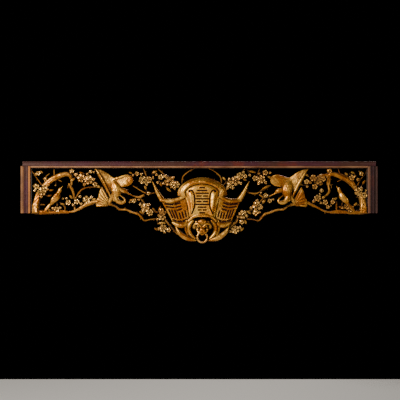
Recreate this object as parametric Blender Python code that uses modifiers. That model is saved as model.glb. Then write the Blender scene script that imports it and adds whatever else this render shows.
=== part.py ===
"""A carved giltwood frieze: a lacquered frame of one rail and two stiles, open below,
that holds a pierced board carved with cranes, magpies, plum branches and a draped
cartouche over a beast mask with a ring.

Metres, +Z up, front towards -Y. The origin is on the middle of the rail's back face.
"""

import math

import bmesh
import bpy
from mathutils import Matrix, Vector

# Frame sizes
FRAME_WIDTH = 2.000  # across the outer faces of the two stiles
FRAME_DEPTH = 0.050
RAIL_HEIGHT = 0.026  # lacquered band of the rail, without its gilt lip
RAIL_END_STEP = 0.012  # how far each rail end stays inside the stile's outer face
STILE_LENGTH = 0.263
STILE_BAND = 0.0245
STILE_EDGE = 0.019  # outer strip of the stile
STILE_EDGE_SETBACK = 0.007
RAIL_LIP = 0.0095  # gilt lip below the rail's band
STILE_LIP = 0.0125
LIP_SETBACK = 0.004
LIP_THICKNESS = 0.009
BEAD_RADIUS = 0.0035
REED_RADIUS = 0.0022
JOINT_GAP = 0.0003
TENON_WIDTH = 0.016
TENON_DEPTH = 0.018
TENON_LENGTH = 0.012

# Carved board
BOARD_BACK = 0.008  # from the frame's back to the board's
BORDER_DEPTH = 0.028  # thickness of the plain border let in behind the lip
BORDER_CLEARANCE = 0.001
GRID_COLUMNS = 338.0  # the opening's width, in grid squares
GRID_ROWS = 45.0  # the opening's height, in grid squares
DEPTH_STEP = 0.0056  # one grid step forward
VOXEL = 0.0025
CARVING_TRIANGLES = 9300

# Places worked out from the sizes above
RAIL_LENGTH = FRAME_WIDTH - 2 * RAIL_END_STEP
RAIL_UNDERSIDE = -RAIL_HEIGHT / 2
STILE_WIDTH = STILE_EDGE + STILE_BAND + STILE_LIP
OPENING_WIDTH = FRAME_WIDTH - 2 * STILE_WIDTH
OPENING_TOP = RAIL_UNDERSIDE - RAIL_LIP
OPENING_HEIGHT = STILE_LENGTH - RAIL_LIP
COLUMN = OPENING_WIDTH / GRID_COLUMNS
ROW = OPENING_HEIGHT / GRID_ROWS
LIP_FRONT = -(FRAME_DEPTH - LIP_SETBACK)

# The carver's grid: u runs right from the board's middle, v runs down from the top of
# the opening, and d runs forward from the board's back. A path point is (u, v, radius)
# or (u, v, radius, d).
END_AXIS = 0.4  # the end scenes mirror about this u
CRANE_AXIS = 2.5  # the cranes and lower branches mirror about this one
CARTOUCHE_AXIS = 3.1
TWIG_DEPTH = 3.0
TWIG_RADIUS = 0.55
BRANCH_DEPTH = 4.4
BLOSSOM_DEPTH = 6.4
PLATE_BACK = 4.0

# End scenes, drawn for the left end
TRUNK = [(-163.6, 45, 3.9), (-163.8, 39, 3.5), (-162.6, 31, 2.8), (-161.0, 25, 2.1), (-155, 19, 2.2)]
ARCH = [(-155, 19, 2.2), (-151, 14, 2.6), (-145, 10, 2.6), (-138, 7.2, 2.2), (-133, 6, 2.0),
        (-129.5, 7.6, 1.9), (-128, 12, 1.2), (-128.2, 17, 0.8)]
GROUND = [(-168.4, 44.2, 1.3, 3.2), (-160, 44.0, 2.0, 4.4), (-150, 44.2, 1.6, 4.4),
          (-140, 43.6, 1.9, 4.4), (-131, 44.3, 1.2, 4.4)]
MAGPIE_BODY = [(-138.6, 20.4, 0.3, 7.2), (-139.6, 22.2, 1.9, 7.0), (-141.0, 25.2, 2.1, 6.8),
               (-142.4, 28.4, 3.3, 6.6), (-145.0, 32.0, 2.6, 6.4), (-148.0, 35.6, 1.5, 6.2)]
MAGPIE_TAIL = [(-147.4, 35.0, 1.5, 6.0), (-151, 39.4, 1.6, 5.6), (-155.2, 44.2, 1.9, 5.2)]
MAGPIE_PERCH = [(-143.6, 32.5, 0.9), (-142.5, 38, 0.9), (-143.0, 43.5, 1.1)]

# Branches of each end, which differ
LEFT_BRANCHES = [
    [(-130.4, 15.8, 0.9), (-128.4, 20, 1.3), (-126.2, 25, 1.3), (-125, 31.5, 1.0), (-122.5, 27.5, 0.9),
     (-118, 21.8, 0.9), (-113, 19.6, 0.8), (-106, 19.0, 0.8), (-98.5, 19.5, 0.9)],
    [(-132, 44.2, 1.0), (-125, 43.0, 1.3), (-119, 39.6, 1.6), (-112, 35.8, 2.1), (-104, 33.4, 2.2),
     (-96, 35, 1.9), (-88, 36.2, 1.3)],
    [(-125.2, 37, 1.0), (-124.6, 42.8, 1.2)],
    [(-139.8, 34.4, 0.6), (-136, 37.2, 1.0), (-134.6, 40, 1.0), (-135, 43.4, 1.0)],
    [(-168.6, 2.4, 0.8), (-166, 6, 0.6), (-162, 11.5, 0.6), (-158, 17.5, 0.9)],
    [(-145.5, 1.2, 0.6), (-145.6, 9.5, 0.8)],
    [(-128.5, 0.6, 0.7), (-129.5, 6.5, 1.0)],
]
RIGHT_BRANCHES = [
    [(122, 8.0, 1.5), (127, 7.6, 1.9), (131.6, 6.2, 1.8)],
    [(130.3, 6, 1.4), (130.8, 13, 1.2), (129.9, 18, 1.2), (130.3, 24, 1.1), (127.4, 27.5, 1.2)],
    [(92, 36, 1.4), (100, 34.5, 1.6), (107, 34.4, 1.6), (114, 37.2, 1.4), (120, 40.2, 1.1),
     (127, 43.4, 1.1), (136, 44.3, 1.1)],
    [(168.6, 2.4, 0.8), (166, 6.6, 0.6), (162, 11.4, 0.6), (158.5, 17.6, 0.9)],
    [(138, 34, 0.9), (137.6, 39, 1.0), (138, 43.6, 1.0)],
    [(139.6, 1.2, 0.6), (141, 6.5, 0.9)],
    [(128.6, 0.6, 0.7), (129.6, 6, 1.0)],
]

# Crane, drawn for the left one
WING_TIPS = [(-103.9, 1.4), (-99.6, 1.6), (-95.6, 3.6), (-92.2, 5.6), (-89.4, 7.8), (-86.6, 9.8)]
WING_ROOTS = [(-88.5, 27.4), (-82.6, 17.4)]
FAN_TIPS = [(-72.0, 6.2), (-68.4, 7.4), (-66.0, 9.8), (-66.4, 13.2), (-69.0, 15.6),
            (-73.0, 17.4), (-77.0, 18.8)]
FAN_ROOT = (-86.0, 19.4)
FAN_BEND = (-78.5, 8.6)
TAIL_TIPS = [(-97.6, 19.8), (-98.8, 23.2), (-100.0, 26.6), (-101.2, 30.0), (-102.8, 33.2), (-104.4, 36.2)]
TAIL_ROOT = (-90.4, 35.4)
CRANE_BODY = [(-87.0, 13.0, 3.0, 6.2), (-84.6, 18.0, 5.0, 6.6), (-82.8, 23.0, 5.1, 6.8),
              (-83.6, 28.0, 3.4, 7.2), (-84.6, 31.4, 2.1, 7.4)]
CRANE_NECK = [(-84.6, 23.0, 2.6, 7.4), (-83.7, 28.6, 2.4, 7.8), (-81.3, 33.0, 2.3, 8.2),
              (-77.5, 34.6, 1.9, 8.6), (-74.4, 33.3, 1.3, 8.8), (-74.9, 30.8, 0.7, 8.8),
              (-79.5, 27.0, 0.5, 8.4)]
CRANE_RUMP = [(-85.6, 26.0, 2.4, 6.2), (-88.4, 31.4, 2.0, 5.0), (-91.0, 35.6, 1.7, 4.4)]
WING_LINK = [(-101.4, 5.4, 0.8, 4.6), (-103.4, 1.8, 0.8, 4.0), (-103.6, 0.0, 0.8, 3.6)]
CRANE_HEAD = [(-82.0, 21.0, 2.4, 6.8), (-77.0, 22.4, 2.3, 7.0), (-73.4, 23.4, 1.9, 6.8),
              (-70.4, 25.8, 0.8, 5.6), (-63.0, 29.4, 0.7, 4.6)]

# Branches between the cranes and the cartouche, drawn for the left side
LOWER_BRANCH = [(-91, 35.8, 1.3), (-84, 38.0, 1.0), (-80, 41.2, 1.1), (-73, 41.8, 1.1), (-66.6, 44.4, 1.1),
                (-61, 46, 1.2), (-57.6, 49.6, 1.1), (-54.6, 52.4, 0.8), (-48, 51.2, 0.7), (-40, 50.6, 0.9)]
MIDDLE_BRANCH = [(-66.4, 18.0, 0.5), (-55.6, 24.2, 0.7), (-50, 25.6, 0.9), (-44, 24.4, 0.7),
                 (-40.6, 22.0, 1.0)]
STUB_BRANCH = [(-66, 28.0, 0.8), (-60.4, 29.3, 1.4), (-55.6, 26.6, 0.9)]
SIDE_BRANCH = [(-60.4, 29.3, 0.9), (-56, 34, 0.9), (-52.6, 40, 1.0), (-44, 43.4, 0.9),
               (-37, 46, 1.0), (-33, 53, 1.2), (-28, 59, 1.2), (-21, 66, 1.0)]
TOP_TWIG = [(-56, 0.2, 0.6), (-54, 5.6, 0.8), (-52.5, 10.6, 0.9)]
HOOD_TWIG = [(-41.5, 0.2, 0.7), (-36.6, 5.6, 0.8), (-30, 10.6, 0.9), (-22, 15.0, 1.0), (-17, 19.0, 1.0)]
CROWN_TWIG = [(-4.4, 0.4, 0.6), (-9, 2.6, 0.6), (-13.6, 6.0, 0.7), (-16.4, 9.6, 0.8), (-17.4, 17.0, 0.9)]

# Blossoms as (u, v, radius), in clusters from left to right
BLOSSOMS = [
    (-157.6, 23.4, 4.7), (-163.2, 18.6, 3.2), (-154.6, 17.8, 3.2), (-161.2, 5.4, 2.4),
    (-110.7, 12.0, 4.8), (-118.2, 10.2, 4.3), (-127.6, 3.4, 2.6), (-108.6, 3.8, 1.8),
    (-104.4, 16.4, 2.6), (-113.0, 31.6, 3.9), (-122.8, 33.4, 3.0), (-131.2, 34.4, 2.8),
    (-143.0, 41.2, 3.1), (-154.4, 10.9, 1.9),
    (-56.6, 12.1, 4.2), (-50.6, 12.0, 3.6), (-62.4, 5.8, 2.3), (-30.2, 13.4, 5.0), (-23.0, 16.6, 3.7),
    (-38.6, 9.2, 2.9), (-54.2, 39.4, 4.6), (-49.4, 44.4, 3.5), (-37.5, 48.2, 4.4), (-37.8, 42.6, 2.9),
    (-36.2, 60.0, 4.0), (-30.6, 61.6, 2.6), (-65.2, 32.6, 2.5), (-50.8, 25.4, 2.0),
    (36.4, 12.8, 5.0), (31.0, 16.6, 3.8), (40.6, 8.0, 3.6), (46.0, 8.2, 2.3), (62.0, 11.2, 4.4),
    (56.0, 10.4, 3.0), (66.2, 4.8, 3.0), (57.8, 37.8, 5.0), (56.4, 44.6, 3.2), (43.4, 46.4, 4.6),
    (42.4, 53.8, 2.6), (36.2, 61.4, 4.3), (70.6, 32.8, 2.4), (66.5, 27.4, 2.6),
    (119.0, 12.2, 4.5), (114.2, 10.2, 3.5), (124.0, 11.0, 3.0), (115.8, 18.6, 3.0), (107.4, 13.8, 2.8),
    (130.4, 3.0, 2.6), (118.6, 30.2, 3.6), (126.2, 34.2, 2.9), (133.6, 34.0, 2.4), (128.8, 38.8, 2.1),
    (159.6, 23.6, 4.4), (165.2, 27.0, 3.4), (152.8, 9.8, 3.2), (158.8, 11.6, 1.9), (162.4, 5.8, 2.3),
    (147.4, 38.6, 3.0), (150.8, 41.8, 2.7), (122.6, 22.6, 2.1),
]

# Cartouche, drawn for its left half, as shares of the grid about its own axis
FACE_SPREAD = [(15.4, 2.5), (16.6, 7.5), (18.0, 11.5), (20.2, 15.2), (23.0, 17.4), (27.0, 16.8),
               (32.0, 14.8), (37.0, 13.5), (42.0, 12.5), (48.6, 11.7)]
SHOULDER_SPREAD = [(13.0, 4.0), (14.6, 12.0), (17.4, 17.6), (21.0, 21.4), (26.0, 23.4), (33.0, 21.6),
                   (41.0, 19.0), (49.0, 16.8), (54.0, 15.4)]  # the draped back behind the face
SHOULDER_FRONT = 7.2
FACE_FRONT = 9.0
FACE_BULGE = 2.2
STROKE_WIDTH = 1.05
STROKE_DEPTH = 0.55
HOOD = [(-24.0, 30.0, 1.5, 7.0), (-23.4, 25.0, 2.1, 7.6), (-20.6, 19.4, 2.4, 8.2), (-13.0, 14.2, 2.5, 8.8),
        (0.0, 11.8, 2.6, 9.2)]
FACE_FOLD = [(-20.2, 22.6, 1.4, 8.0), (-17.8, 31, 1.8, 8.6), (-15.6, 39, 1.9, 9.0), (-14.2, 47, 1.9, 9.0),
             (-13.4, 53, 1.5, 8.6)]
OUTER_FOLD = [(-22.6, 27, 1.6, 7.4), (-20.0, 35, 1.9, 8.0), (-17.4, 43, 1.9, 8.2), (-15.6, 52, 1.9, 8.2)]
FACE_HEM = [(-13.6, 52.8, 1.2, 9.4), (-9.4, 49.0, 1.6, 10.2), (-4.6, 47.0, 1.7, 10.8),
            (0.0, 46.4, 1.7, 11.0)]
BOWL = [(-26.6, 58.0, 0.8, 6.4), (-24.0, 63.0, 1.9, 7.0), (-19.8, 67.0, 2.4, 7.6), (-15.0, 69.6, 2.4, 8.0),
        (-10.4, 71.0, 1.8, 8.2), (-6.0, 71.8, 0.7, 8.2)]
JOWL_FOLD = [(-9.6, 52.6, 1.4, 9.6), (-12.6, 56.0, 1.9, 9.4), (-13.6, 61.0, 1.9, 9.0),
             (-11.8, 66.0, 1.7, 8.8), (-7.6, 70.0, 1.2, 8.6)]
TIE_FOLD = [(-15.4, 53.0, 1.8, 7.4), (-16.4, 60.0, 1.6, 7.4), (-14.4, 66.6, 1.6, 7.6)]

# The two side banners: outer edge's distance from the axis, top and bottom
BANNER_OUTER_TOP = {-1: 41.4, 1: 38.4}
BANNER_OUTER_BOTTOM = {-1: 29.4, 1: 28.4}
BANNER_INNER_TOP = 17.6
BANNER_INNER_BOTTOM = 12.2
BANNER_SAG = 2.6
BANNER_TOP = 32.0
BANNER_INNER_RISE = 3.4
BANNER_BOTTOM = 54.4
BANNER_FRONT = 7.4
HORN_LENGTH = 18.0
HORN_LEAN = 8.4
HORN_RADIUS = 2.9

# Beast mask and its ring
MASK_ROUNDS = [  # (u, v, d, radius across, radius up, radius forward), mirrored when u isn't 0
    (0.0, 55.2, 9.6, 5.8, 4.4, 2.6), (0.0, 60.6, 10.8, 3.0, 3.2, 2.4), (-3.6, 57.4, 11.4, 1.5, 1.3, 1.2),
    (-6.4, 59.4, 9.6, 2.6, 3.0, 2.0), (-1.3, 61.6, 12.6, 1.0, 0.9, 0.9), (-2.4, 63.8, 11.2, 1.9, 1.5, 1.5),
    (0.0, 66.0, 10.6, 2.6, 1.3, 1.4), (-6.8, 53.8, 9.6, 2.0, 2.4, 1.4), (-9.0, 57.6, 8.4, 4.4, 4.6, 2.0),
    (0.0, 57.0, 8.0, 7.0, 5.6, 2.6),
]
MASK_BROW = [(-6.6, 55.6, 0.8, 10.8), (-4.0, 54.8, 1.1, 11.8), (-1.2, 57.2, 0.9, 12.2)]
RING_PLACE = (68.9, 10.2)  # v and d of its middle
RING_RADIUS = 4.9
RING_THICKNESS = 0.95

GILT = (0.80, 0.52, 0.16, 1.0)
LACQUER = (0.22, 0.09, 0.07, 1.0)


def mirrored(path, axis):
    """The path reflected about the line u = axis."""
    return [(2 * axis - point[0], *point[1:]) for point in path]


def about(path, axis, side=-1):
    """A path that is drawn about u = 0 on the left, moved to the axis and to one side."""
    return [(axis - side * point[0], *point[1:]) for point in path]


def smooth(path, steps):
    """Points of a Catmull-Rom curve through the path."""
    ends = [path[0], *path, path[-1]]
    made = []
    for before, start, stop, after in zip(ends, ends[1:], ends[2:], ends[3:]):
        for k in range(steps):
            t = k / steps
            made.append(tuple(
                0.5 * (2 * q + (r - p) * t + (2 * p - 5 * q + 4 * r - s) * t**2
                       + (3 * q - p - 3 * r + s) * t**3)
                for p, q, r, s in zip(before, start, stop, after)))
    made.append(path[-1])
    return made


def with_depth(path, depth):
    """The path with d filled in where a point doesn't state it."""
    return [(*point, depth)[:4] for point in path]


def sweep(bm, path, depth=BRANCH_DEPTH, flat=1.0, sides=8, steps=3):
    """A tapering bar through the path, whose section is flat times as deep as it is wide."""
    line = smooth(with_depth(path, depth), steps)
    rings = []
    for k, (u, v, radius, d) in enumerate(line):
        before, after = line[max(k - 1, 0)], line[min(k + 1, len(line) - 1)]
        along = Vector((after[0] - before[0], 0, before[1] - after[1])).normalized()
        across = Vector((-along.z, 0, along.x))
        ring = []
        for side in range(sides):
            turn = 2 * math.pi * side / sides
            point = Vector((u, -d, -v)) + across * radius * math.cos(turn)
            point.y += radius * flat * math.sin(turn)
            ring.append(bm.verts.new(point))
        rings.append(ring)
    for ring, following in zip(rings, rings[1:]):
        for side in range(sides):
            following_side = (side + 1) % sides
            bm.faces.new((ring[side], ring[following_side], following[following_side], following[side]))
    bm.faces.new(rings[0])
    bm.faces.new(rings[-1])


def round_form(bm, place, radii, turn=0.0, tilt=0.0, detail=2):
    """An ellipsoid at (u, v, d) with radii across, up and forward, turned in the picture and tilted back."""
    u, v, d = place
    across, up, forward = radii
    matrix = (Matrix.Translation((u, -d, -v)) @ Matrix.Rotation(turn, 4, "Y") @ Matrix.Rotation(tilt, 4, "X")
              @ Matrix.Diagonal((across, forward, up, 1)))
    bmesh.ops.create_icosphere(bm, subdivisions=detail, radius=1.0, matrix=matrix)


def plate(bm, rows, back):
    """A closed plate whose front runs through rows of (u, v, d) points, with its back at depth back."""
    front = [[bm.verts.new((u, -d, -v)) for u, v, d in row] for row in rows]
    rear = [[bm.verts.new((u, -back, -v)) for u, v, _ in row] for row in rows]
    for sheet in (front, rear):
        for row, following in zip(sheet, sheet[1:]):
            for k in range(len(row) - 1):
                bm.faces.new((row[k], row[k + 1], following[k + 1], following[k]))
    top = list(zip(front[0], rear[0]))
    bottom = list(zip(front[-1], rear[-1]))
    left = [(f[0], r[0]) for f, r in zip(front, rear)]
    right = [(f[-1], r[-1]) for f, r in zip(front, rear)]
    for edge in (top, bottom, left, right):
        for (f, r), (next_f, next_r) in zip(edge, edge[1:]):
            bm.faces.new((f, next_f, next_r, r))


def blossom(bm, u, v, radius, petals=5):
    """A five-petalled plum blossom on a stem that reaches back to the twigs."""
    for k in range(petals):
        turn = 2 * math.pi * k / petals + u
        place = (u + 0.62 * radius * math.sin(turn), v - 0.62 * radius * math.cos(turn), BLOSSOM_DEPTH)
        round_form(bm, place, (0.38 * radius, 0.42 * radius, 0.30 * radius), turn=turn)
    round_form(bm, (u, v, BLOSSOM_DEPTH + 0.22 * radius), (0.24 * radius, 0.24 * radius, 0.26 * radius))
    stem = 0.30 * radius
    middle = (BLOSSOM_DEPTH + TWIG_DEPTH) / 2
    round_form(bm, (u, v, middle), (stem, stem, (BLOSSOM_DEPTH - TWIG_DEPTH) / 2 + 0.6))


def feathers(bm, roots, tips, depth, width, bend=None, rise=0.0):
    """Overlapping feathers from a line or point of roots to their tips."""
    first, last = Vector(roots[0]), Vector(roots[-1])
    for k, tip in enumerate(tips):
        share = k / (len(tips) - 1)
        root = first.lerp(last, share)
        middle = (root + Vector(tip)) / 2 if bend is None else (root + Vector(tip) + 2 * Vector(bend)) / 4
        lift = depth + 0.4 * (k % 2) + rise * share
        sweep(bm, [(*root, 0.7 * width, lift), (*middle, width, lift + 0.3), (*tip, 0.3 * width, lift)],
              flat=0.75, sides=6, steps=3)


def crane(bm, place):
    """A crane, one wing raised and one spread, its neck bent back, its tail fanned. place moves a path."""
    def points(pairs):
        return [point[:2] for point in place([(*pair, 0.0) for pair in pairs])]

    feathers(bm, points(WING_ROOTS), points(WING_TIPS), depth=5.2, width=2.2, rise=0.8)
    feathers(bm, points([FAN_ROOT]), points(FAN_TIPS), depth=5.6, width=2.4, bend=points([FAN_BEND])[0],
             rise=0.6)
    feathers(bm, points([TAIL_ROOT]), points(TAIL_TIPS), depth=4.4, width=2.3, rise=0.6)
    for path in (CRANE_BODY, CRANE_NECK, CRANE_RUMP, CRANE_HEAD, WING_LINK):
        sweep(bm, place(path), sides=8)


def end_scene(bm, place):
    """The old trunk with its arching branch, the ground and the magpie below it."""
    for path in (TRUNK, ARCH, GROUND, MAGPIE_PERCH):
        sweep(bm, place(path), sides=8)
    sweep(bm, place(MAGPIE_BODY), sides=8)
    sweep(bm, place(MAGPIE_TAIL), flat=0.6, sides=6)


def spread_at(v, spread):
    """Half the width at row v of a form whose (row, half width) points are given."""
    for (above, wide), (below, narrow) in zip(spread, spread[1:]):
        if v <= below:
            return wide + (narrow - wide) * (v - above) / (below - above)
    return spread[-1][1]


def near_stroke(u, v, strokes):
    """Whether the point lies within half a stroke's width of one of the strokes."""
    point = Vector((u, v))
    for start, end in strokes:
        start, end = Vector(start), Vector(end)
        run = end - start
        share = min(1.0, max(0.0, (point - start).dot(run) / run.length_squared))
        if (point - start - run * share).length < STROKE_WIDTH / 2:
            return True
    return False


def face_strokes():
    """Rows of plain bars between two curved strokes. They spell nothing."""
    strokes = []
    for k in range(8):
        v = 22.4 + 3.1 * k
        reach = 2.4 if k in (0, 7) else 5.6
        gap = 1.2 if k % 2 else 0.0
        for side in (-1, 1):
            strokes.append(((side * gap, v), (side * reach, v)))
    curve = smooth([(12.6, 23.6), (11.4, 21.8), (9.0, 22.6), (7.4, 27), (7.0, 33), (7.4, 39), (9.6, 45)], 3)
    for side in (-1, 1):
        points = [(side * u, v) for u, v in curve]
        strokes.extend(zip(points, points[1:]))
    return strokes


def cartouche_face(bm):
    """The convex middle panel with its shallow strokes."""
    strokes = face_strokes()
    rows = []
    top, bottom = FACE_SPREAD[0][0], FACE_SPREAD[-1][0]
    lines, columns = 74, 72
    for line in range(lines + 1):
        v = top + (bottom - top) * line / lines
        half = spread_at(v, FACE_SPREAD)
        row = []
        for column in range(columns + 1):
            share = 2 * column / columns - 1
            u = half * share
            d = FACE_FRONT + FACE_BULGE * math.sqrt(1 - 0.9 * share**2) + 0.5 * (line / lines) ** 2
            if near_stroke(u, v, strokes):
                d -= STROKE_DEPTH
            row.append((CARTOUCHE_AXIS + u, v, d))
        rows.append(row)
    plate(bm, rows, PLATE_BACK)


def shoulders(bm):
    """The draped cloth behind the face, which closes the space between face and folds."""
    top, bottom = SHOULDER_SPREAD[0][0], SHOULDER_SPREAD[-1][0]
    lines, columns = 30, 24
    rows = []
    for line in range(lines + 1):
        v = top + (bottom - top) * line / lines
        half = spread_at(v, SHOULDER_SPREAD)
        shares = [2 * column / columns - 1 for column in range(columns + 1)]
        rows.append([(CARTOUCHE_AXIS + half * share, v, SHOULDER_FRONT + 1.2 * (1 - share**2))
                     for share in shares])
    plate(bm, rows, PLATE_BACK)


def banner_point(side, across, down):
    """(u, v) on a side banner, across from its inner to its outer edge and down from its top hem."""
    top = BANNER_INNER_TOP + (BANNER_OUTER_TOP[side] - BANNER_INNER_TOP) * across
    bottom = BANNER_INNER_BOTTOM + (BANNER_OUTER_BOTTOM[side] - BANNER_INNER_BOTTOM) * across
    sag = BANNER_SAG * math.sin(math.pi * across)
    upper = BANNER_TOP - BANNER_INNER_RISE * (1 - across) + sag
    lower = BANNER_BOTTOM + sag
    return top + (bottom - top) * down, upper + (lower - upper) * down


def banner_strokes(side):
    """Rows of upright and level bars. They spell nothing."""
    level = [((0.16, y), (0.46, y)) for y in (0.16, 0.30)] + [((0.56, y), (0.88, y)) for y in (0.16, 0.30)]
    upright = [((x, 0.42), (x, 0.66)) for x in (0.16, 0.30, 0.44, 0.58, 0.72, 0.86)]
    low = [((x, 0.78), (x + 0.16, 0.78)) for x in (0.18, 0.44, 0.70)]
    return [(banner_point(side, *start), banner_point(side, *end)) for start, end in level + upright + low]


def banner(bm, side):
    """A side banner with rolled hems above and below and a curled horn at its outer top corner."""
    strokes = banner_strokes(side)
    rows = []
    lines, columns = 44, 44
    for line in range(lines + 1):
        row = []
        for column in range(columns + 1):
            across, down = column / columns, line / lines
            u, v = banner_point(side, across, down)
            d = BANNER_FRONT + 0.9 * math.sin(math.pi * down) - 0.8 * across
            if near_stroke(u, v, strokes):
                d -= STROKE_DEPTH
            row.append((CARTOUCHE_AXIS + side * u, v, d))
        rows.append(row)
    plate(bm, rows, PLATE_BACK)
    shares = (0.0, 0.25, 0.5, 0.75, 1.0)
    for down, radii in ((0.0, (1.7, 2.0, 2.1, 2.0, 1.6)), (1.0, (1.4, 2.2, 2.4, 2.0, 1.0))):
        hem = [(*banner_point(side, across, down), radius, BANNER_FRONT + 0.5 - 0.8 * across)
               for across, radius in zip(shares, radii)]
        sweep(bm, [(CARTOUCHE_AXIS + side * u, v, radius, d) for u, v, radius, d in hem])
    u, v = banner_point(side, 1.0, 0.0)
    horn = [(u - 4.0, v + 1.0, 0.8), (u - 0.6, v - 1.2, 1.0),
            (u + 0.40 * HORN_LEAN, v - 0.42 * HORN_LENGTH, 0.74),
            (u + 0.72 * HORN_LEAN, v - 0.74 * HORN_LENGTH, 0.42), (u + HORN_LEAN, v - HORN_LENGTH, 0.12)]
    sweep(bm, [(CARTOUCHE_AXIS + side * h, w, HORN_RADIUS * share) for h, w, share in horn], depth=6.2)


def mask(bm):
    """The beast mask that holds the ring in its mouth."""
    for u, v, d, across, up, forward in MASK_ROUNDS:
        for side in ((-1, 1) if u else (1,)):
            round_form(bm, (CARTOUCHE_AXIS + side * u, v, d), (across, up, forward))
    for side in (-1, 1):
        sweep(bm, about(MASK_BROW, CARTOUCHE_AXIS, side), sides=6)


def ring(bm):
    """The ring, a turned round bar that passes through the mask's mouth."""
    v, d = RING_PLACE
    turns, sides = 32, 8
    rings = []
    for k in range(turns):
        turn = 2 * math.pi * k / turns
        made = []
        for side in range(sides):
            roll = 2 * math.pi * side / sides
            reach = RING_RADIUS + RING_THICKNESS * math.cos(roll)
            made.append(bm.verts.new((CARTOUCHE_AXIS + reach * math.cos(turn),
                                      -d - RING_THICKNESS * math.sin(roll),
                                      -v + reach * math.sin(turn))))
        rings.append(made)
    for k, made in enumerate(rings):
        following = rings[(k + 1) % turns]
        for side in range(sides):
            next_side = (side + 1) % sides
            bm.faces.new((made[side], made[next_side], following[next_side], following[side]))


def cartouche(bm):
    """The draped cartouche: face, hood, folds, hems, bowl, side banners, mask and ring."""
    shoulders(bm)
    cartouche_face(bm)
    for side in (-1, 1):
        banner(bm, side)
        for path in (HOOD, FACE_FOLD, OUTER_FOLD, FACE_HEM, BOWL, JOWL_FOLD, TIE_FOLD):
            sweep(bm, about(path, CARTOUCHE_AXIS, side))
    mask(bm)
    ring(bm)


def joining_twigs(bm, branches):
    """Thin twigs at the back, each from a blossom to the nearest wood that is already joined."""
    joined = [point[:2] for path in branches for point in smooth(with_depth(path, BRANCH_DEPTH), 3)]
    waiting = [(u, v) for u, v, _ in BLOSSOMS]
    while waiting:
        _, start, end = min(
            (math.dist(start, end), start, end) for start in waiting for end in joined)
        waiting.remove(start)
        joined.append(start)
        middle = ((start[0] + end[0]) / 2, (start[1] + end[1]) / 2 - 0.6)
        sweep(bm, [(*start, TWIG_RADIUS, TWIG_DEPTH), (*middle, TWIG_RADIUS, TWIG_DEPTH),
                   (*end, TWIG_RADIUS, TWIG_DEPTH + 0.4)], sides=6, steps=2)


def board_branches():
    """Every branch of the board, as paths on the grid."""
    paths = [*LEFT_BRANCHES, *RIGHT_BRANCHES]
    for path in (TRUNK, ARCH, GROUND):
        paths += [path, mirrored(path, END_AXIS)]
    for path in (LOWER_BRANCH, MIDDLE_BRANCH, STUB_BRANCH, SIDE_BRANCH, TOP_TWIG, HOOD_TWIG, CROWN_TWIG):
        paths += [path, mirrored(path, CRANE_AXIS)]
    return paths


def box(bm, low, high):
    """A box between two corners, in metres."""
    low, high = Vector(low), Vector(high)
    matrix = Matrix.Translation((low + high) / 2) @ Matrix.Diagonal((*(high - low), 1))
    bmesh.ops.create_cube(bm, size=1.0, matrix=matrix)


def board_border(bm):
    """The plain border that the lip hides: along the rail and down both stiles."""
    half = OPENING_WIDTH / 2
    side_reach = STILE_LIP - BORDER_CLEARANCE
    top_reach = RAIL_LIP - BORDER_CLEARANCE
    back, front = -BOARD_BACK, -(BOARD_BACK + BORDER_DEPTH)
    bottom = OPENING_TOP - OPENING_HEIGHT
    box(bm, (-half - side_reach, front, OPENING_TOP - 0.002),
        (half + side_reach, back, OPENING_TOP + top_reach))
    for side in (-1, 1):
        ends = sorted((side * (half - 0.002), side * (half + side_reach)))
        box(bm, (ends[0], front, bottom), (ends[1], back, OPENING_TOP + top_reach))


def material(name, colour, roughness, metallic):
    made = bpy.data.materials.new(name)
    made.use_nodes = True
    shader = made.node_tree.nodes["Principled BSDF"]
    shader.inputs["Base Color"].default_value = colour
    shader.inputs["Roughness"].default_value = roughness
    shader.inputs["Metallic"].default_value = metallic
    return made


def add_object(name, bm, collection, finish=None):
    mesh = bpy.data.meshes.new(name)
    bmesh.ops.recalc_face_normals(bm, faces=bm.faces)
    bm.to_mesh(mesh)
    bm.free()
    made = bpy.data.objects.new(name, mesh)
    collection.objects.link(made)
    if finish:
        mesh.materials.append(finish)
    return made


def evaluated_copy(source):
    """A new mesh with the source's modifiers applied."""
    graph = bpy.context.evaluated_depsgraph_get()
    return bpy.data.meshes.new_from_object(source.evaluated_get(graph))


def largest_body(mesh):
    """Deletes every body of the mesh but the one with the most points, and returns how many there were."""
    bm = bmesh.new()
    bm.from_mesh(mesh)
    waiting, bodies = set(bm.verts), []
    while waiting:
        found, edge = set(), [waiting.pop()]
        while edge:
            vert = edge.pop()
            found.add(vert)
            for link in vert.link_edges:
                other = link.other_vert(vert)
                if other in waiting:
                    waiting.remove(other)
                    edge.append(other)
        bodies.append(found)
    bodies.sort(key=len)
    for body in bodies[:-1]:
        bmesh.ops.delete(bm, geom=list(body), context="VERTS")
    bm.to_mesh(mesh)
    bm.free()
    return len(bodies)


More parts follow.
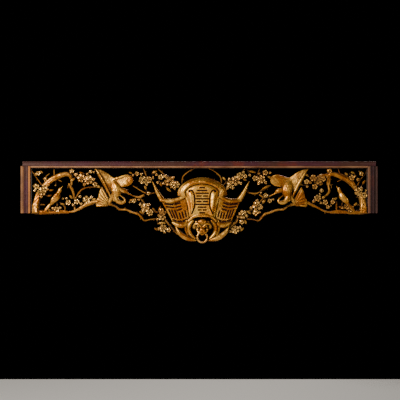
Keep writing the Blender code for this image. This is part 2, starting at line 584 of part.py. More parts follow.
def carved_board(collection, finish):
    """The whole carving and its border, fused into one solid and thinned to a bearable number of faces."""
    grid = bmesh.new()
    branches = board_branches()
    for path in branches:
        sweep(grid, path)
    for place in (list, lambda path: mirrored(path, END_AXIS)):
        end_scene(grid, place)
    for place in (list, lambda path: mirrored(path, CRANE_AXIS)):
        crane(grid, place)
    joining_twigs(grid, branches)
    for u, v, radius in BLOSSOMS:
        blossom(grid, u, v, radius)
    cartouche(grid)
    bmesh.ops.transform(grid, verts=grid.verts, matrix=Matrix.Translation((0, -BOARD_BACK, OPENING_TOP))
                        @ Matrix.Diagonal((COLUMN, DEPTH_STEP, ROW, 1)))
    board_border(grid)
    board = add_object("carved_board", grid, collection, finish)
    remesh = board.modifiers.new("fuse", "REMESH")
    remesh.mode = "VOXEL"
    remesh.voxel_size = VOXEL
    fused = evaluated_copy(board)
    board.modifiers.clear()
    bodies = largest_body(fused)
    print("carved_board bodies before cleaning:", bodies)
    board.data = fused
    thin = board.modifiers.new("thin", "DECIMATE")
    thin.use_collapse_triangulate = True
    fused.calc_loop_triangles()
    thin.ratio = min(1.0, CARVING_TRIANGLES / len(fused.loop_triangles))
    return board


def profile_bar(name, outline, length, collection):
    """A straight bar with the given section, along its local Z from -length/2 to length/2."""
    curve = bpy.data.curves.new(name, "CURVE")
    curve.dimensions = "2D"
    curve.fill_mode = "BOTH"
    curve.extrude = length / 2
    spline = curve.splines.new("POLY")
    spline.points.add(len(outline) - 1)
    for point, (x, y) in zip(spline.points, outline):
        point.co = (x, y, 0, 1)
    spline.use_cyclic_u = True
    bar = bpy.data.objects.new(name, curve)
    collection.objects.link(bar)
    return bar


def as_mesh(source, name, collection, finish):
    """The curve object as a mesh object with welded caps; the curve is removed."""
    bpy.context.view_layer.update()
    mesh = evaluated_copy(source)
    bm = bmesh.new()
    bm.from_mesh(mesh)
    bmesh.ops.remove_doubles(bm, verts=bm.verts, dist=1e-6)
    bmesh.ops.recalc_face_normals(bm, faces=bm.faces)
    bm.to_mesh(mesh)
    bm.free()
    made = bpy.data.objects.new(name, mesh)
    made.matrix_world = source.matrix_world
    collection.objects.link(made)
    bpy.data.objects.remove(source)
    mesh.materials.clear()
    mesh.materials.append(finish)
    return made


def arc(centre, radius, start, stop, steps=6):
    """Points of a round stretch, with its angles in degrees."""
    return [(centre[0] + radius * math.cos(math.radians(start + (stop - start) * k / steps)),
             centre[1] + radius * math.sin(math.radians(start + (stop - start) * k / steps)))
            for k in range(steps + 1)]


def band_section(height):
    """Section of a lacquered band: a bead on the outer front edge, a flat and a reed on the inner one.
    The first coordinate runs out from the band's inner edge, the second runs forward from its back."""
    front = FRAME_DEPTH - BEAD_RADIUS
    flat = front - 0.001
    return [
        (0.0, 0.0), (0.0, front),
        *arc((REED_RADIUS, front), REED_RADIUS, 180, 0),
        (2 * REED_RADIUS, flat), (height - 2 * BEAD_RADIUS, flat),
        *arc((height - BEAD_RADIUS, front), BEAD_RADIUS, 180, 0),
        (height, 0.0),
    ]


def lip_section(width):
    """Section of the gilt lip, half round at its inner edge, with a root inside the band."""
    root = REED_RADIUS
    thick = LIP_THICKNESS / 2
    middle = FRAME_DEPTH - LIP_SETBACK - thick
    return [(root, middle - thick), (root, middle + thick),
            *arc((thick - width, middle), thick, 90, 270)]


def edge_section():
    """Section of the stile's outer strip, with a root inside the band."""
    depth = FRAME_DEPTH - STILE_EDGE_SETBACK
    soft = BEAD_RADIUS
    inner = STILE_BAND - REED_RADIUS
    outer = STILE_BAND + STILE_EDGE
    return [(inner, 0.0005), (inner, depth - soft), (STILE_BAND + soft, depth),
            *arc((outer - soft, depth - soft), soft, 90, 0), (outer, 0.0)]


def join(target, other, operation):
    """Adds a Boolean to the target and hides the other object from the render."""
    boolean = target.modifiers.new(operation.lower() + "_" + other.name, "BOOLEAN")
    boolean.operation = operation
    boolean.solver = "EXACT"
    boolean.object = other
    other.hide_render = True
    other.display_type = "WIRE"


def rail(collection, helpers, finish):
    """The top rail: its band over the whole length, its lip between the stiles' lips, and two mortises."""
    along = (Matrix.Translation((0, 0, RAIL_UNDERSIDE))
             @ Matrix(((0, 0, 1, 0), (0, -1, 0, 0), (1, 0, 0, 0), (0, 0, 0, 1))))
    band = profile_bar("band", band_section(RAIL_HEIGHT), RAIL_LENGTH, collection)
    band.matrix_world = along
    made = as_mesh(band, "top_rail", collection, finish)
    lip = profile_bar("lip", lip_section(RAIL_LIP), OPENING_WIDTH - 2 * JOINT_GAP, collection)
    lip.matrix_world = along
    join(made, as_mesh(lip, "rail_lip", helpers, finish), "UNION")
    for side in (-1, 1):
        join(made, tenon(side, helpers, JOINT_GAP), "DIFFERENCE")
    return made


def tenon(side, helpers, clearance):
    """The block at the top of a stile, grown by the clearance where it cuts its mortise."""
    middle = side * (OPENING_WIDTH / 2 + STILE_LIP + STILE_BAND / 2)
    bm = bmesh.new()
    box(bm, (middle - TENON_WIDTH / 2 - clearance, -(FRAME_DEPTH + TENON_DEPTH) / 2 - clearance,
             RAIL_UNDERSIDE - 3 * REED_RADIUS),
        (middle + TENON_WIDTH / 2 + clearance, -(FRAME_DEPTH - TENON_DEPTH) / 2 + clearance,
         RAIL_UNDERSIDE + TENON_LENGTH + clearance))
    return add_object(f"tenon_{'left' if side < 0 else 'right'}_{'cut' if clearance else 'solid'}", bm,
                      helpers)


def stile(side, collection, helpers, finish):
    """An upright: band, gilt lip towards the opening, outer strip, and the tenon that enters the rail."""
    name = "left_stile" if side < 0 else "right_stile"
    inner = side * (OPENING_WIDTH / 2 + STILE_LIP)
    length = STILE_LENGTH - JOINT_GAP
    middle = RAIL_UNDERSIDE - JOINT_GAP - length / 2
    upright = Matrix.Translation((inner, 0, middle)) @ Matrix.Diagonal((side, -1, 1, 1))
    band = profile_bar("band", band_section(STILE_BAND), length, collection)
    band.matrix_world = upright
    made = as_mesh(band, name, collection, finish)
    for piece, outline in (("lip", lip_section(STILE_LIP)), ("edge", edge_section())):
        bar = profile_bar(piece, outline, length, collection)
        bar.matrix_world = upright
        join(made, as_mesh(bar, f"{name}_{piece}", helpers, finish), "UNION")
    join(made, tenon(side, helpers, 0.0), "UNION")
    return made


def main():
    for old in list(bpy.data.objects):
        bpy.data.objects.remove(old)
    collection = bpy.data.collections.new("giltwood_frieze")
    helpers = bpy.data.collections.new("helpers")
    for made in (collection, helpers):
        bpy.context.scene.collection.children.link(made)
    gilt = material("gilt", GILT, 0.38, 0.9)
    lacquer = material("lacquer", LACQUER, 0.5, 0.0)
    rail(collection, helpers, lacquer)
    for side in (-1, 1):
        stile(side, collection, helpers, lacquer)
    carved_board(collection, gilt)


main()
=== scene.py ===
"""The looks of a carved giltwood frieze: worn gilding on pierced carving, in a lacquered frame.

Metres, +Z up, front towards -Y. The carving is laid out on the carver's grid: u runs right
from the board's middle, v runs down from the top of the opening, and d runs forward from the
board's back. One step of the grid is about 5.6 mm.
"""

import math

import bmesh
import bpy
import numpy as np
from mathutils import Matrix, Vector


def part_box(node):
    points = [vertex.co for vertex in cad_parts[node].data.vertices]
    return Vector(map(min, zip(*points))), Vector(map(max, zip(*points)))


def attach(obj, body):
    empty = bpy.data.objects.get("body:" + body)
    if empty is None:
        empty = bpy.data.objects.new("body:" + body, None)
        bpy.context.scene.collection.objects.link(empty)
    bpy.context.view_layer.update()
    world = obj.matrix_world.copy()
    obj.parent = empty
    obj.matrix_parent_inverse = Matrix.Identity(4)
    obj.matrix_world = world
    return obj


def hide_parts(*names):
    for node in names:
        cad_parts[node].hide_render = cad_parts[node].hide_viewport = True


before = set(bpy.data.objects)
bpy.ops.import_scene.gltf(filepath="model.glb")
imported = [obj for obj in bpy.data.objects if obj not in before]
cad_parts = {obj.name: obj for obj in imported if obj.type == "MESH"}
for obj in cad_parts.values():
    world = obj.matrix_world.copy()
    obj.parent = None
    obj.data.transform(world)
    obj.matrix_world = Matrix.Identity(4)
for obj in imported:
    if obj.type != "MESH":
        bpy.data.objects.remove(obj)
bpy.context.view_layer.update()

# The frame, read from the solids
RAIL_LOW, RAIL_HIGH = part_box("top_rail")
LEFT_LOW, LEFT_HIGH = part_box("left_stile")
RIGHT_LOW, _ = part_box("right_stile")
BOARD_LOW, BOARD_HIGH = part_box("carved_board")

# Grid
GRID_COLUMNS = 338.0
GRID_ROWS = 45.0
DEPTH_STEP = 0.0056
COLUMN = (RIGHT_LOW.x - LEFT_HIGH.x) / GRID_COLUMNS
ROW = (RAIL_LOW.z - LEFT_LOW.z) / GRID_ROWS

# The u about which the end scenes and cranes are mirrored and the cartouche is drawn
END_AXIS = 0.4
CRANE_AXIS = 2.5
CARTOUCHE_AXIS = 3.1

# The usual d of twigs, branches and blossoms, and the d of the plates' flat backs
TWIG_DEPTH = 3.0
TWIG_RADIUS = 0.55
BRANCH_DEPTH = 4.4
BLOSSOM_DEPTH = 6.4
PLATE_BACK = 4.0
BANNER_BACK = 4.2
HOOD_BACK = 4.4
FACE_BACK = 4.7

# Keeps a division from failing
TINY = 1e-9

# Shapes of the repeated forms
CAP_ANGLES = (24, 48, 72)
BLADE_COLUMNS = 9
BLADE_BELLY = 0.6
KNOT_STEP = 6.1
KNOT_LENGTH = 0.9
SPUR_STEP = 6.5
LARGE_BLOSSOM = 3.4
STAMENS = 7
BUD_PETALS = 3
BUD_STALK = 0.45
LEAF_STALK = 0.4
PETAL_SIDES = 14
PETAL_DISH = 0.8

# A petal's rings: share of its size, height of the ring, and how far it sinks where the petal is dished
PETAL_RINGS = ((0.20, 0.90, 0.44), (0.42, 0.92, 0.34), (0.64, 0.87, 0.10), (0.80, 0.76, 0.0),
               (0.93, 0.44, 0.0), (1.0, 0.08, 0.0), (0.88, -0.28, 0.0), (0.5, -0.45, 0.0))

# A wing's rows of feathers: reach, how far forward they lie, and share of the full width
WING_ROWS = ((1.0, 0.0, 1.0), (0.66, 0.3, 1.0), (0.40, 0.55, 0.95))

# Sections of the frame, as the solids have them
FRAME_DEPTH = -RAIL_LOW.y
RAIL_LIP = 0.0095
STILE_LIP = 0.0125
STILE_BAND = 0.0245
STILE_EDGE = 0.019
STILE_EDGE_SETBACK = 0.007
LIP_SETBACK = 0.004
LIP_THICKNESS = 0.009
BEAD_RADIUS = 0.0035
REED_RADIUS = 0.0022
JOINT_GAP = 0.0003

# Handwork on the frame's mouldings: how deep the surface sinks, how far it wanders, where the plain back
# begins, and how many sections each has along it
HAND_SINK = 0.00035
HAND_WOBBLE = 0.00022
BACK_MARGIN = 0.004
RAIL_STATIONS = 420
STILE_STATIONS = 120

# Colours, in linear light
GOLD_LIGHT = (0.86, 0.44, 0.075, 1.0)
GOLD_DEEP = (0.42, 0.13, 0.012, 1.0)
# GOLD_PALE and GOLD_WARM are the blossoms' and ring's paler copy of the gilding: painted light that stands
# in for their highlights
GOLD_PALE = (0.94, 0.52, 0.13, 1.0)
GOLD_WARM = (0.74, 0.32, 0.058, 1.0)
# GOLD_BRIGHT and GOLD_AMBER are the cartouche face's brighter copy of the gilding: painted light where its
# bulge catches the lamp
GOLD_BRIGHT = (1.0, 0.56, 0.10, 1.0)
GOLD_BROWN = (0.70, 0.31, 0.050, 1.0)
GOLD_AMBER = (0.86, 0.33, 0.030, 1.0)
BOLE_RED = (0.17, 0.040, 0.014, 1.0)
# GRIME_AND_SHADE is the colour of painted shade in hollows and towards the back, and of the dark streaks in
# old wood's grain
GRIME_AND_SHADE = (0.010, 0.0035, 0.0012, 1.0)
STROKE_PAINT = (0.014, 0.0012, 0.0008, 1.0)
OLD_WOOD = (0.13, 0.062, 0.028, 1.0)
LIP_GOLD = (0.37, 0.175, 0.078, 1.0)
LIP_WORN = (0.18, 0.060, 0.022, 1.0)
# LIP_LIT and LIP_LIT_WARM are the left lip's brighter copy of the lip gilding: painted light where the lamp
# on the left falls
LIP_LIT = (0.47, 0.16, 0.030, 1.0)
LIP_LIT_WARM = (0.36, 0.12, 0.026, 1.0)
# LIP_DIM is the right lip's darker copy: partly darker gilding, partly painted shade
LIP_DIM = (0.17, 0.072, 0.030, 1.0)
STRIP_GOLD = (0.27, 0.105, 0.028, 1.0)
STRIP_WORN = (0.13, 0.050, 0.016, 1.0)
# DARK_STRIP is the right strip's dark tone, partly dark paint and partly painted shade, and the dark colour
# of rubbed and shaded frame gilding
DARK_STRIP = (0.040, 0.010, 0.005, 1.0)
LACQUER_BROWN = (0.056, 0.015, 0.009, 1.0)
LACQUER_PLUM = (0.060, 0.011, 0.018, 1.0)
LACQUER_RED = (0.13, 0.016, 0.005, 1.0)
LACQUER_GREY = (0.10, 0.052, 0.040, 1.0)

# Which coat each part of a stile has. The left lip's is brighter, painted light; the right stile's are
# darker, partly darker paint and gilding and partly painted shade.
LEFT_COATS = {"band": "lacquer", "gilt_lip": "lit left lip", "edge": "strip"}
RIGHT_COATS = {"band": "dark lacquer", "gilt_lip": "dark lip", "edge": "dark strip"}

# Thin coats of the frame: key, material, two colours and how metallic it is
FRAME_COATS = (
    ("lip", "lip_gilding", LIP_GOLD, LIP_WORN, 0.45),
    # The left lip's coat is painted light: a brighter copy of the lip's
    ("lit left lip", "left_lip_lit_gilding", LIP_LIT, LIP_LIT_WARM, 0.45),
    # The right lip's and strip's coats are darker: partly darker gilding and paint, partly painted shade
    ("dark lip", "right_lip_shaded_gilding", LIP_DIM, LIP_WORN, 0.35),
    ("strip", "strip_gilding", STRIP_GOLD, STRIP_WORN, 0.2),
    ("dark strip", "right_strip_paint_and_shade", LACQUER_BROWN, DARK_STRIP, 0.0),
)

# Camera, floor and lamps, in metres and watts
CAMERA_LENS = 90.0
CAMERA_SENSOR = 36.0
VIEW_WIDTH = 2.235
IMAGE_MIDDLE = (0.0045, -0.2025)
FRONT_PLANE = -0.05
FLOOR_SCALE = (6.0, 4.0, 1.0)
FLOOR_PLACE = (0.0, -2.4, -1.5)
FLOOR_COLOUR = (0.62, 0.60, 0.57, 1.0)
LIT_MIDDLE = (0.0, 0.0, -0.2)
LAMP_COLOUR = (1.0, 0.96, 0.90)
LAMPS = (
    ("key", (-2.65, -2.75, 1.4), (0.7, 0.7), 245),
    ("fill", (2.7, -3.1, 0.5), (0.8, 0.8), 20),
    ("low", (0.2, -4.2, -1.1), (2.4, 0.5), 12),
    ("back", (0.8, 3.4, 1.6), (2.4, 1.6), 85),
)
SKY_COLOUR = (0.5, 0.5, 0.5, 1.0)
SKY_STRENGTH = 0.0004

# Bars are lists of (u, v, radius), or of (u, v, radius, d) where d isn't BRANCH_DEPTH.

# End scenes, drawn for the left end
TRUNK = [(-163.6, 44.4, 3.9), (-163.8, 39, 3.5), (-162.6, 31, 2.8), (-161.0, 25, 2.1), (-155, 19, 2.2)]
ARCH = [(-155, 19, 2.2), (-151, 14, 2.6), (-145, 10, 2.6), (-138, 7.2, 2.2), (-133, 6, 2.0),
        (-129.5, 7.6, 1.9), (-128, 12, 1.2), (-128.2, 17, 0.8)]
GROUND = [(-168.4, 44.2, 1.3, 3.2), (-160, 44.0, 2.0, 4.4), (-150, 44.2, 1.6, 4.4),
          (-140, 43.6, 1.9, 4.4), (-131, 44.3, 1.2, 4.4)]
SPURS = [
    [(-161.8, 31, 1.2), (-158.6, 28.4, 0.9), (-157.2, 24.4, 0.7)],
    [(-147.5, 11.6, 1.2), (-142.6, 11.4, 0.9), (-138.0, 13.6, 0.5)],
    [(-151.5, 14.5, 1.0), (-153.6, 9.0, 0.8), (-150.4, 6.0, 0.5)],
    [(-162.4, 37.4, 1.0), (-157.4, 36.6, 0.7), (-154.8, 37.0, 0.4)],
    [(-128.4, 15.0, 0.7), (-131.4, 17.6, 0.5), (-131.8, 20.2, 0.4)],
]
MAGPIE_BODY = [(-138.9, 21.0, 1.5, 7.1), (-139.6, 22.6, 1.9, 7.0), (-140.9, 25.2, 2.1, 6.8),
               (-142.3, 28.4, 3.3, 6.6), (-145.0, 32.0, 2.6, 6.4), (-148.0, 35.6, 1.5, 6.2)]
MAGPIE_HEAD = (-139.2, 21.8, 7.3)
MAGPIE_BEAK = [(-138.8, 21.0, 0.8, 7.3), (-137.6, 19.6, 0.5, 7.4), (-136.6, 18.6, 0.15, 7.4)]
MAGPIE_WING = ((-141.2, 25.0), (-148.6, 35.4))
MAGPIE_TAIL = ((-146.2, 33.0), (-155.8, 44.6))
MAGPIE_WING_DEPTH = 8.5
MAGPIE_TAIL_DEPTH = 6.2

# The magpie's feathers: how far aside and how long in the tail, then length, aside and forward in the wing
MAGPIE_TAIL_FEATHERS = ((-0.9, 0.86), (-0.2, 1.04), (0.5, 0.94))
MAGPIE_WING_FEATHERS = ((1.0, 0.0, 0.0), (0.92, 0.9, 0.2), (0.84, -0.9, 0.2), (0.66, 0.4, 0.5),
                        (0.6, -0.5, 0.6), (0.4, 0.0, 0.9))
MAGPIE_PERCH = [(-143.6, 32.5, 0.9), (-142.5, 38, 0.9), (-143.0, 43.5, 1.1)]

# Branches of each end, which differ
LEFT_BRANCHES = [
    [(-130.4, 15.8, 0.9), (-128.4, 20, 1.3), (-126.2, 25, 1.3), (-125, 31.5, 1.0), (-122.5, 27.5, 0.9),
     (-118, 21.8, 0.9), (-113, 19.6, 0.8), (-106, 19.0, 0.8), (-98.5, 19.5, 0.9)],
    [(-132, 44.2, 1.0), (-125, 43.0, 1.3), (-119, 39.6, 1.6), (-112, 35.8, 2.1), (-104, 33.4, 2.2),
     (-96, 35, 1.9), (-88, 36.2, 1.3)],
    [(-125.2, 37, 1.0), (-124.6, 42.8, 1.2)],
    [(-139.8, 34.4, 0.6), (-136, 37.2, 1.0), (-134.6, 40, 1.0), (-135, 43.4, 1.0)],
    [(-168.6, 2.4, 0.8), (-166, 6, 0.6), (-162, 11.5, 0.6), (-158, 17.5, 0.9)],
    [(-145.5, 1.2, 0.6), (-145.6, 9.5, 0.8)],
    [(-128.5, 0.6, 0.7), (-129.5, 6.5, 1.0)],
]
RIGHT_BRANCHES = [
    [(122, 8.0, 1.5), (127, 7.6, 1.9), (131.6, 6.2, 1.8)],
    [(130.3, 6, 1.4), (130.8, 13, 1.2), (129.9, 18, 1.2), (130.3, 24, 1.1), (127.4, 27.5, 1.2)],
    [(92, 36, 1.4), (100, 34.5, 1.6), (107, 34.4, 1.6), (114, 37.2, 1.4), (120, 40.2, 1.1),
     (127, 43.4, 1.1), (136, 44.3, 1.1)],
    [(168.6, 2.4, 0.8), (166, 6.6, 0.6), (162, 11.4, 0.6), (158.5, 17.6, 0.9)],
    [(138, 34, 0.9), (137.6, 39, 1.0), (138, 43.6, 1.0)],
    [(139.6, 1.2, 0.6), (141, 6.5, 0.9)],
    [(128.6, 0.6, 0.7), (129.6, 6, 1.0)],
]

# Crane, drawn for the left one
WING_EDGE = [(-88.6, 28.4, 1.0, 6.6), (-91.6, 22.0, 1.2, 6.9), (-96.4, 12.6, 1.1, 6.8),
             (-100.8, 5.4, 0.9, 6.2), (-104.0, 1.0, 0.4, 5.4)]
WING_TIPS = [(-103.4, 1.6), (-99.6, 1.8), (-95.6, 3.6), (-92.2, 5.6), (-89.0, 7.8), (-86.0, 9.6)]
WING_ROOTS = [(-89.4, 27.4), (-84.6, 18.6)]
FAN_TIPS = [(-87.0, 11.2), (-83.0, 10.4), (-79.2, 9.2), (-75.6, 7.9), (-71.6, 7.1), (-68.0, 8.2),
            (-66.2, 11.0), (-66.8, 14.2), (-69.2, 16.2)]
FAN_EDGE = [(-88.0, 13.6, 0.9, 5.9), (-85.4, 11.4, 1.2, 6.1), (-81.0, 10.2, 1.2, 6.3),
            (-76.6, 8.7, 1.2, 6.3), (-72.4, 7.5, 0.95, 6.2), (-68.4, 9.0, 0.5, 6.0)]
FAN_ROOTS = [(-88.0, 19.6), (-81.6, 20.4), (-77.4, 18.2)]
TAIL_LEFT = [(-97.8, 19.2), (-100.0, 23.5), (-101.3, 28.9), (-103.4, 33.4), (-103.2, 38.6)]
TAIL_RIGHT = [(-96.8, 19.6), (-93.8, 24.6), (-90.9, 29.4), (-90.2, 33.9), (-91.6, 38.0)]
TAIL_ROOT = (-90.4, 36.4)
TAIL_FEATHERS = 11.5
TAIL_DEPTH = 5.0
CRANE_BODY = [(-87.0, 12.4, 1.6, 5.4), (-84.6, 17.4, 4.6, 5.9), (-82.8, 23.0, 5.1, 6.6),
              (-83.6, 28.0, 3.4, 7.2), (-84.6, 31.4, 2.1, 7.4)]
CRANE_NECK = [(-84.6, 23.0, 2.6, 7.4), (-83.7, 28.6, 2.4, 7.8), (-81.3, 33.0, 2.3, 8.2),
              (-77.5, 34.6, 1.9, 8.6), (-74.4, 33.3, 1.3, 8.8), (-74.9, 30.8, 0.7, 8.8),
              (-79.5, 27.0, 0.5, 8.4)]
CRANE_RUMP = [(-85.6, 26.0, 2.4, 6.2), (-88.4, 31.4, 2.0, 5.0), (-91.0, 35.6, 1.7, 4.4)]
CRANE_HEAD = [(-82.0, 21.0, 2.4, 6.8), (-77.0, 22.4, 2.4, 7.0), (-73.2, 23.4, 2.0, 6.9),
              (-70.4, 25.8, 0.7, 6.0), (-63.0, 29.4, 0.45, 4.6)]
CRANE_EYE = (-75.2, 22.4, 8.9)
WING_LINK = [(-101.4, 5.4, 0.8, 4.6), (-103.4, 1.8, 0.8, 4.0), (-103.6, 0.0, 0.8, 3.6)]

# Branches between the cranes and the cartouche, drawn for the left side
LOWER_BRANCH = [(-91, 35.8, 1.3), (-84, 38.0, 1.0), (-80, 41.2, 1.1), (-73, 41.8, 1.1),
                (-66.6, 44.4, 1.1), (-61, 46, 1.2), (-57.6, 49.6, 1.1), (-54.6, 52.4, 0.8),
                (-48, 51.2, 0.7), (-40, 50.6, 0.9)]
MIDDLE_BRANCH = [(-66.4, 18.0, 0.5), (-55.6, 24.2, 0.7), (-50, 25.6, 0.9), (-44, 24.4, 0.7),
                 (-40.6, 22.0, 1.0)]
STUB_BRANCH = [(-66, 28.0, 0.8), (-60.4, 29.3, 1.4), (-55.6, 26.6, 0.9)]
SIDE_BRANCH = [(-60.4, 29.3, 0.9), (-56, 34, 0.9), (-52.6, 40, 1.0), (-44, 43.4, 0.9), (-37, 46, 1.0),
               (-33, 53, 1.2), (-28, 59, 1.2), (-21, 66, 1.0)]
TOP_TWIG = [(-56, 0.2, 0.6), (-54, 5.6, 0.8), (-52.5, 10.6, 0.9)]
HOOD_TWIG = [(-41.5, 0.2, 0.7), (-36.6, 5.6, 0.8), (-30, 10.6, 0.9), (-22, 15.0, 1.0), (-17, 19.0, 1.0)]
CROWN_TWIG = [(-4.4, 0.4, 0.6), (-9, 2.6, 0.6), (-13.6, 6.0, 0.7), (-16.4, 9.6, 0.8), (-17.4, 17.0, 0.9)]

# Blossoms as (u, v, radius), in clusters from left to right
BLOSSOMS = [
    (-157.6, 23.4, 4.7), (-163.2, 18.6, 3.2), (-154.6, 17.8, 3.2), (-161.2, 5.4, 2.4),
    (-110.7, 12.0, 4.8), (-118.2, 10.2, 4.3), (-127.6, 3.4, 2.6), (-108.6, 3.8, 1.8),
    (-104.4, 16.4, 2.6), (-113.0, 31.6, 3.9), (-122.8, 33.4, 3.0), (-131.2, 34.4, 2.8), (-143.0, 41.2, 3.1),
    (-154.4, 10.9, 1.9),
    (-56.6, 12.1, 4.2), (-50.6, 12.0, 3.6), (-62.4, 5.8, 2.3), (-30.2, 13.4, 5.0), (-23.0, 16.6, 3.7),
    (-38.6, 9.2, 2.9), (-54.2, 39.4, 4.6), (-49.4, 44.4, 3.5), (-37.5, 48.2, 4.4), (-37.8, 42.6, 2.9),
    (-36.2, 60.0, 4.0), (-30.6, 61.6, 2.6), (-65.2, 32.6, 2.5), (-50.8, 25.4, 2.0),
    (36.4, 12.8, 5.0), (31.0, 16.6, 3.8), (40.6, 8.0, 3.6), (46.0, 8.2, 2.3), (62.0, 11.2, 4.4),
    (56.0, 10.4, 3.0), (66.2, 4.8, 3.0), (57.8, 37.8, 5.0), (56.4, 44.6, 3.2), (43.4, 46.4, 4.6),
    (42.4, 53.8, 2.6), (36.2, 61.4, 4.3), (70.6, 32.8, 2.4), (66.5, 27.4, 2.6),
    (119.0, 12.2, 4.5), (114.2, 10.2, 3.5), (124.0, 11.0, 3.0), (115.8, 18.6, 3.0), (107.4, 13.8, 2.8),
    (130.4, 3.0, 2.6), (118.6, 30.2, 3.6), (126.2, 34.2, 2.9), (133.6, 34.0, 2.4), (128.8, 38.8, 2.1),
    (159.6, 23.6, 4.4), (165.2, 27.0, 3.4), (152.8, 9.8, 3.2), (158.8, 11.6, 1.9), (162.4, 5.8, 2.3),
    (147.4, 38.6, 3.0), (150.8, 41.8, 2.7), (122.6, 22.6, 2.1),
]

# Small blossoms and buds beside them
BUDS = [
    (-158.4, 28.6, 1.8), (-152.4, 21.4, 1.7), (-150.8, 17.0, 1.4), (-164.6, 22.6, 1.6), (-143.9, 17.4, 0.9),
    (-123.6, 6.8, 2.2), (-114.8, 16.4, 2.0), (-105.6, 11.6, 1.7), (-112.0, 6.4, 1.6), (-105.4, 4.2, 1.3),
    (-119.4, 28.6, 1.7), (-108.2, 29.6, 1.9), (-126.4, 36.8, 1.6), (-132.9, 30.4, 1.2), (-118.2, 35.8, 1.7),
    (-136.4, 30.8, 1.0), (-146.6, 40.2, 1.8), (-139.2, 39.8, 1.5), (-66.4, 7.4, 1.3), (-58.0, 6.4, 1.7),
    (-46.4, 10.0, 1.5), (-52.6, 16.6, 1.6), (-33.8, 8.4, 2.0), (-26.4, 10.0, 2.1), (-35.8, 15.6, 1.7),
    (-24.6, 20.6, 1.6), (-27.6, 19.0, 1.5), (-42.8, 6.8, 1.6), (-41.6, 14.6, 1.7), (-58.8, 36.2, 1.8),
    (-56.0, 44.0, 1.5), (-50.0, 36.6, 1.7), (-42.0, 51.0, 1.5), (-33.8, 44.0, 1.5), (-40.4, 60.6, 1.6),
    (-34.4, 64.0, 1.4), (-69.6, 34.0, 1.1), (-60.6, 31.6, 1.3), (28.2, 20.2, 1.9), (33.8, 20.0, 1.6),
    (41.6, 15.2, 1.8), (30.2, 11.4, 1.6), (44.4, 4.6, 1.5), (50.8, 7.4, 1.6), (66.6, 14.6, 1.7),
    (59.6, 15.6, 1.7), (71.0, 5.0, 1.5), (60.2, 5.8, 1.3), (52.2, 39.8, 1.8), (62.4, 39.4, 1.9),
    (58.0, 32.6, 1.7), (60.4, 44.0, 1.6), (47.6, 48.0, 1.6), (38.8, 48.8, 1.6), (31.6, 63.0, 1.6),
    (40.8, 59.0, 1.6), (74.2, 31.4, 1.2), (61.8, 24.6, 1.2), (108.2, 18.6, 1.4), (111.4, 14.6, 1.6),
    (121.8, 7.6, 1.8), (128.0, 8.8, 1.4), (114.6, 33.4, 1.6), (122.0, 34.8, 1.5), (121.0, 26.4, 1.3),
    (131.8, 37.6, 1.2), (156.2, 19.2, 1.9), (162.6, 20.4, 1.8), (161.6, 28.8, 1.9), (167.0, 22.6, 1.4),
    (149.4, 12.8, 1.5), (156.0, 8.0, 1.4), (143.4, 39.8, 1.6), (153.8, 39.2, 1.4), (134.0, 31.0, 1.2),
]

# Leaves as (root u, root v, tip u, tip v, half width)
LEAVES = [
    (-165.6, 7.8, -160.6, 3.8, 1.2), (-160.8, 3.4, -156.4, 5.0, 1.0), (-151.6, 22.2, -145.6, 21.8, 0.8),
    (-153.0, 27.8, -147.4, 27.0, 0.8), (-107.6, 13.6, -101.6, 18.0, 1.6), (-102.8, 17.6, -98.4, 19.6, 1.0),
    (-124.0, 9.6, -129.6, 13.4, 1.0), (-115.0, 5.8, -120.6, 4.0, 1.0), (-108.4, 33.0, -103.4, 30.4, 1.2),
    (-126.6, 31.0, -130.4, 27.2, 1.0), (-134.6, 36.6, -139.4, 36.0, 0.9), (-148.0, 43.0, -153.0, 40.8, 1.2),
    (-66.8, 6.6, -70.6, 4.0, 0.9), (-47.4, 5.6, -41.8, 3.0, 1.1), (-40.6, 14.0, -37.4, 18.8, 1.1),
    (-63.2, 33.0, -70.4, 32.6, 1.1), (-55.4, 46.0, -60.2, 43.0, 1.0), (-38.6, 38.0, -41.0, 43.6, 1.1),
    (-43.8, 43.2, -47.6, 40.0, 0.9), (-41.8, 55.8, -32.8, 55.2, 1.2), (-41.0, 61.8, -45.0, 59.6, 0.9),
    (-52.8, 22.0, -54.6, 17.4, 1.0), (-33.0, 19.0, -28.0, 23.4, 1.0), (42.8, 9.8, 47.8, 12.6, 1.1),
    (26.8, 12.6, 23.4, 9.0, 1.0), (49.0, 3.0, 57.4, 5.2, 0.9), (68.2, 8.4, 72.8, 11.0, 1.0),
    (52.6, 45.6, 46.6, 43.0, 1.0), (63.0, 36.0, 67.0, 31.4, 1.1), (44.0, 50.6, 47.6, 56.0, 1.2),
    (36.4, 53.6, 29.8, 61.4, 1.3), (40.8, 62.8, 44.8, 59.4, 1.0), (62.0, 22.6, 71.4, 17.4, 0.9),
    (104.0, 17.6, 99.6, 14.4, 1.0), (110.0, 9.0, 105.0, 5.8, 1.0), (119.6, 17.4, 124.4, 15.4, 1.1),
    (133.6, 32.6, 138.4, 29.4, 1.0), (122.6, 31.4, 126.8, 27.6, 1.0), (154.6, 38.4, 158.4, 34.4, 1.0),
    (144.6, 40.8, 139.8, 38.0, 1.1), (163.8, 16.8, 166.8, 12.4, 1.0), (149.6, 8.4, 145.6, 4.6, 1.0),
    (156.4, 5.4, 151.8, 3.8, 1.0), (160.2, 3.2, 165.6, 5.6, 1.0),
]

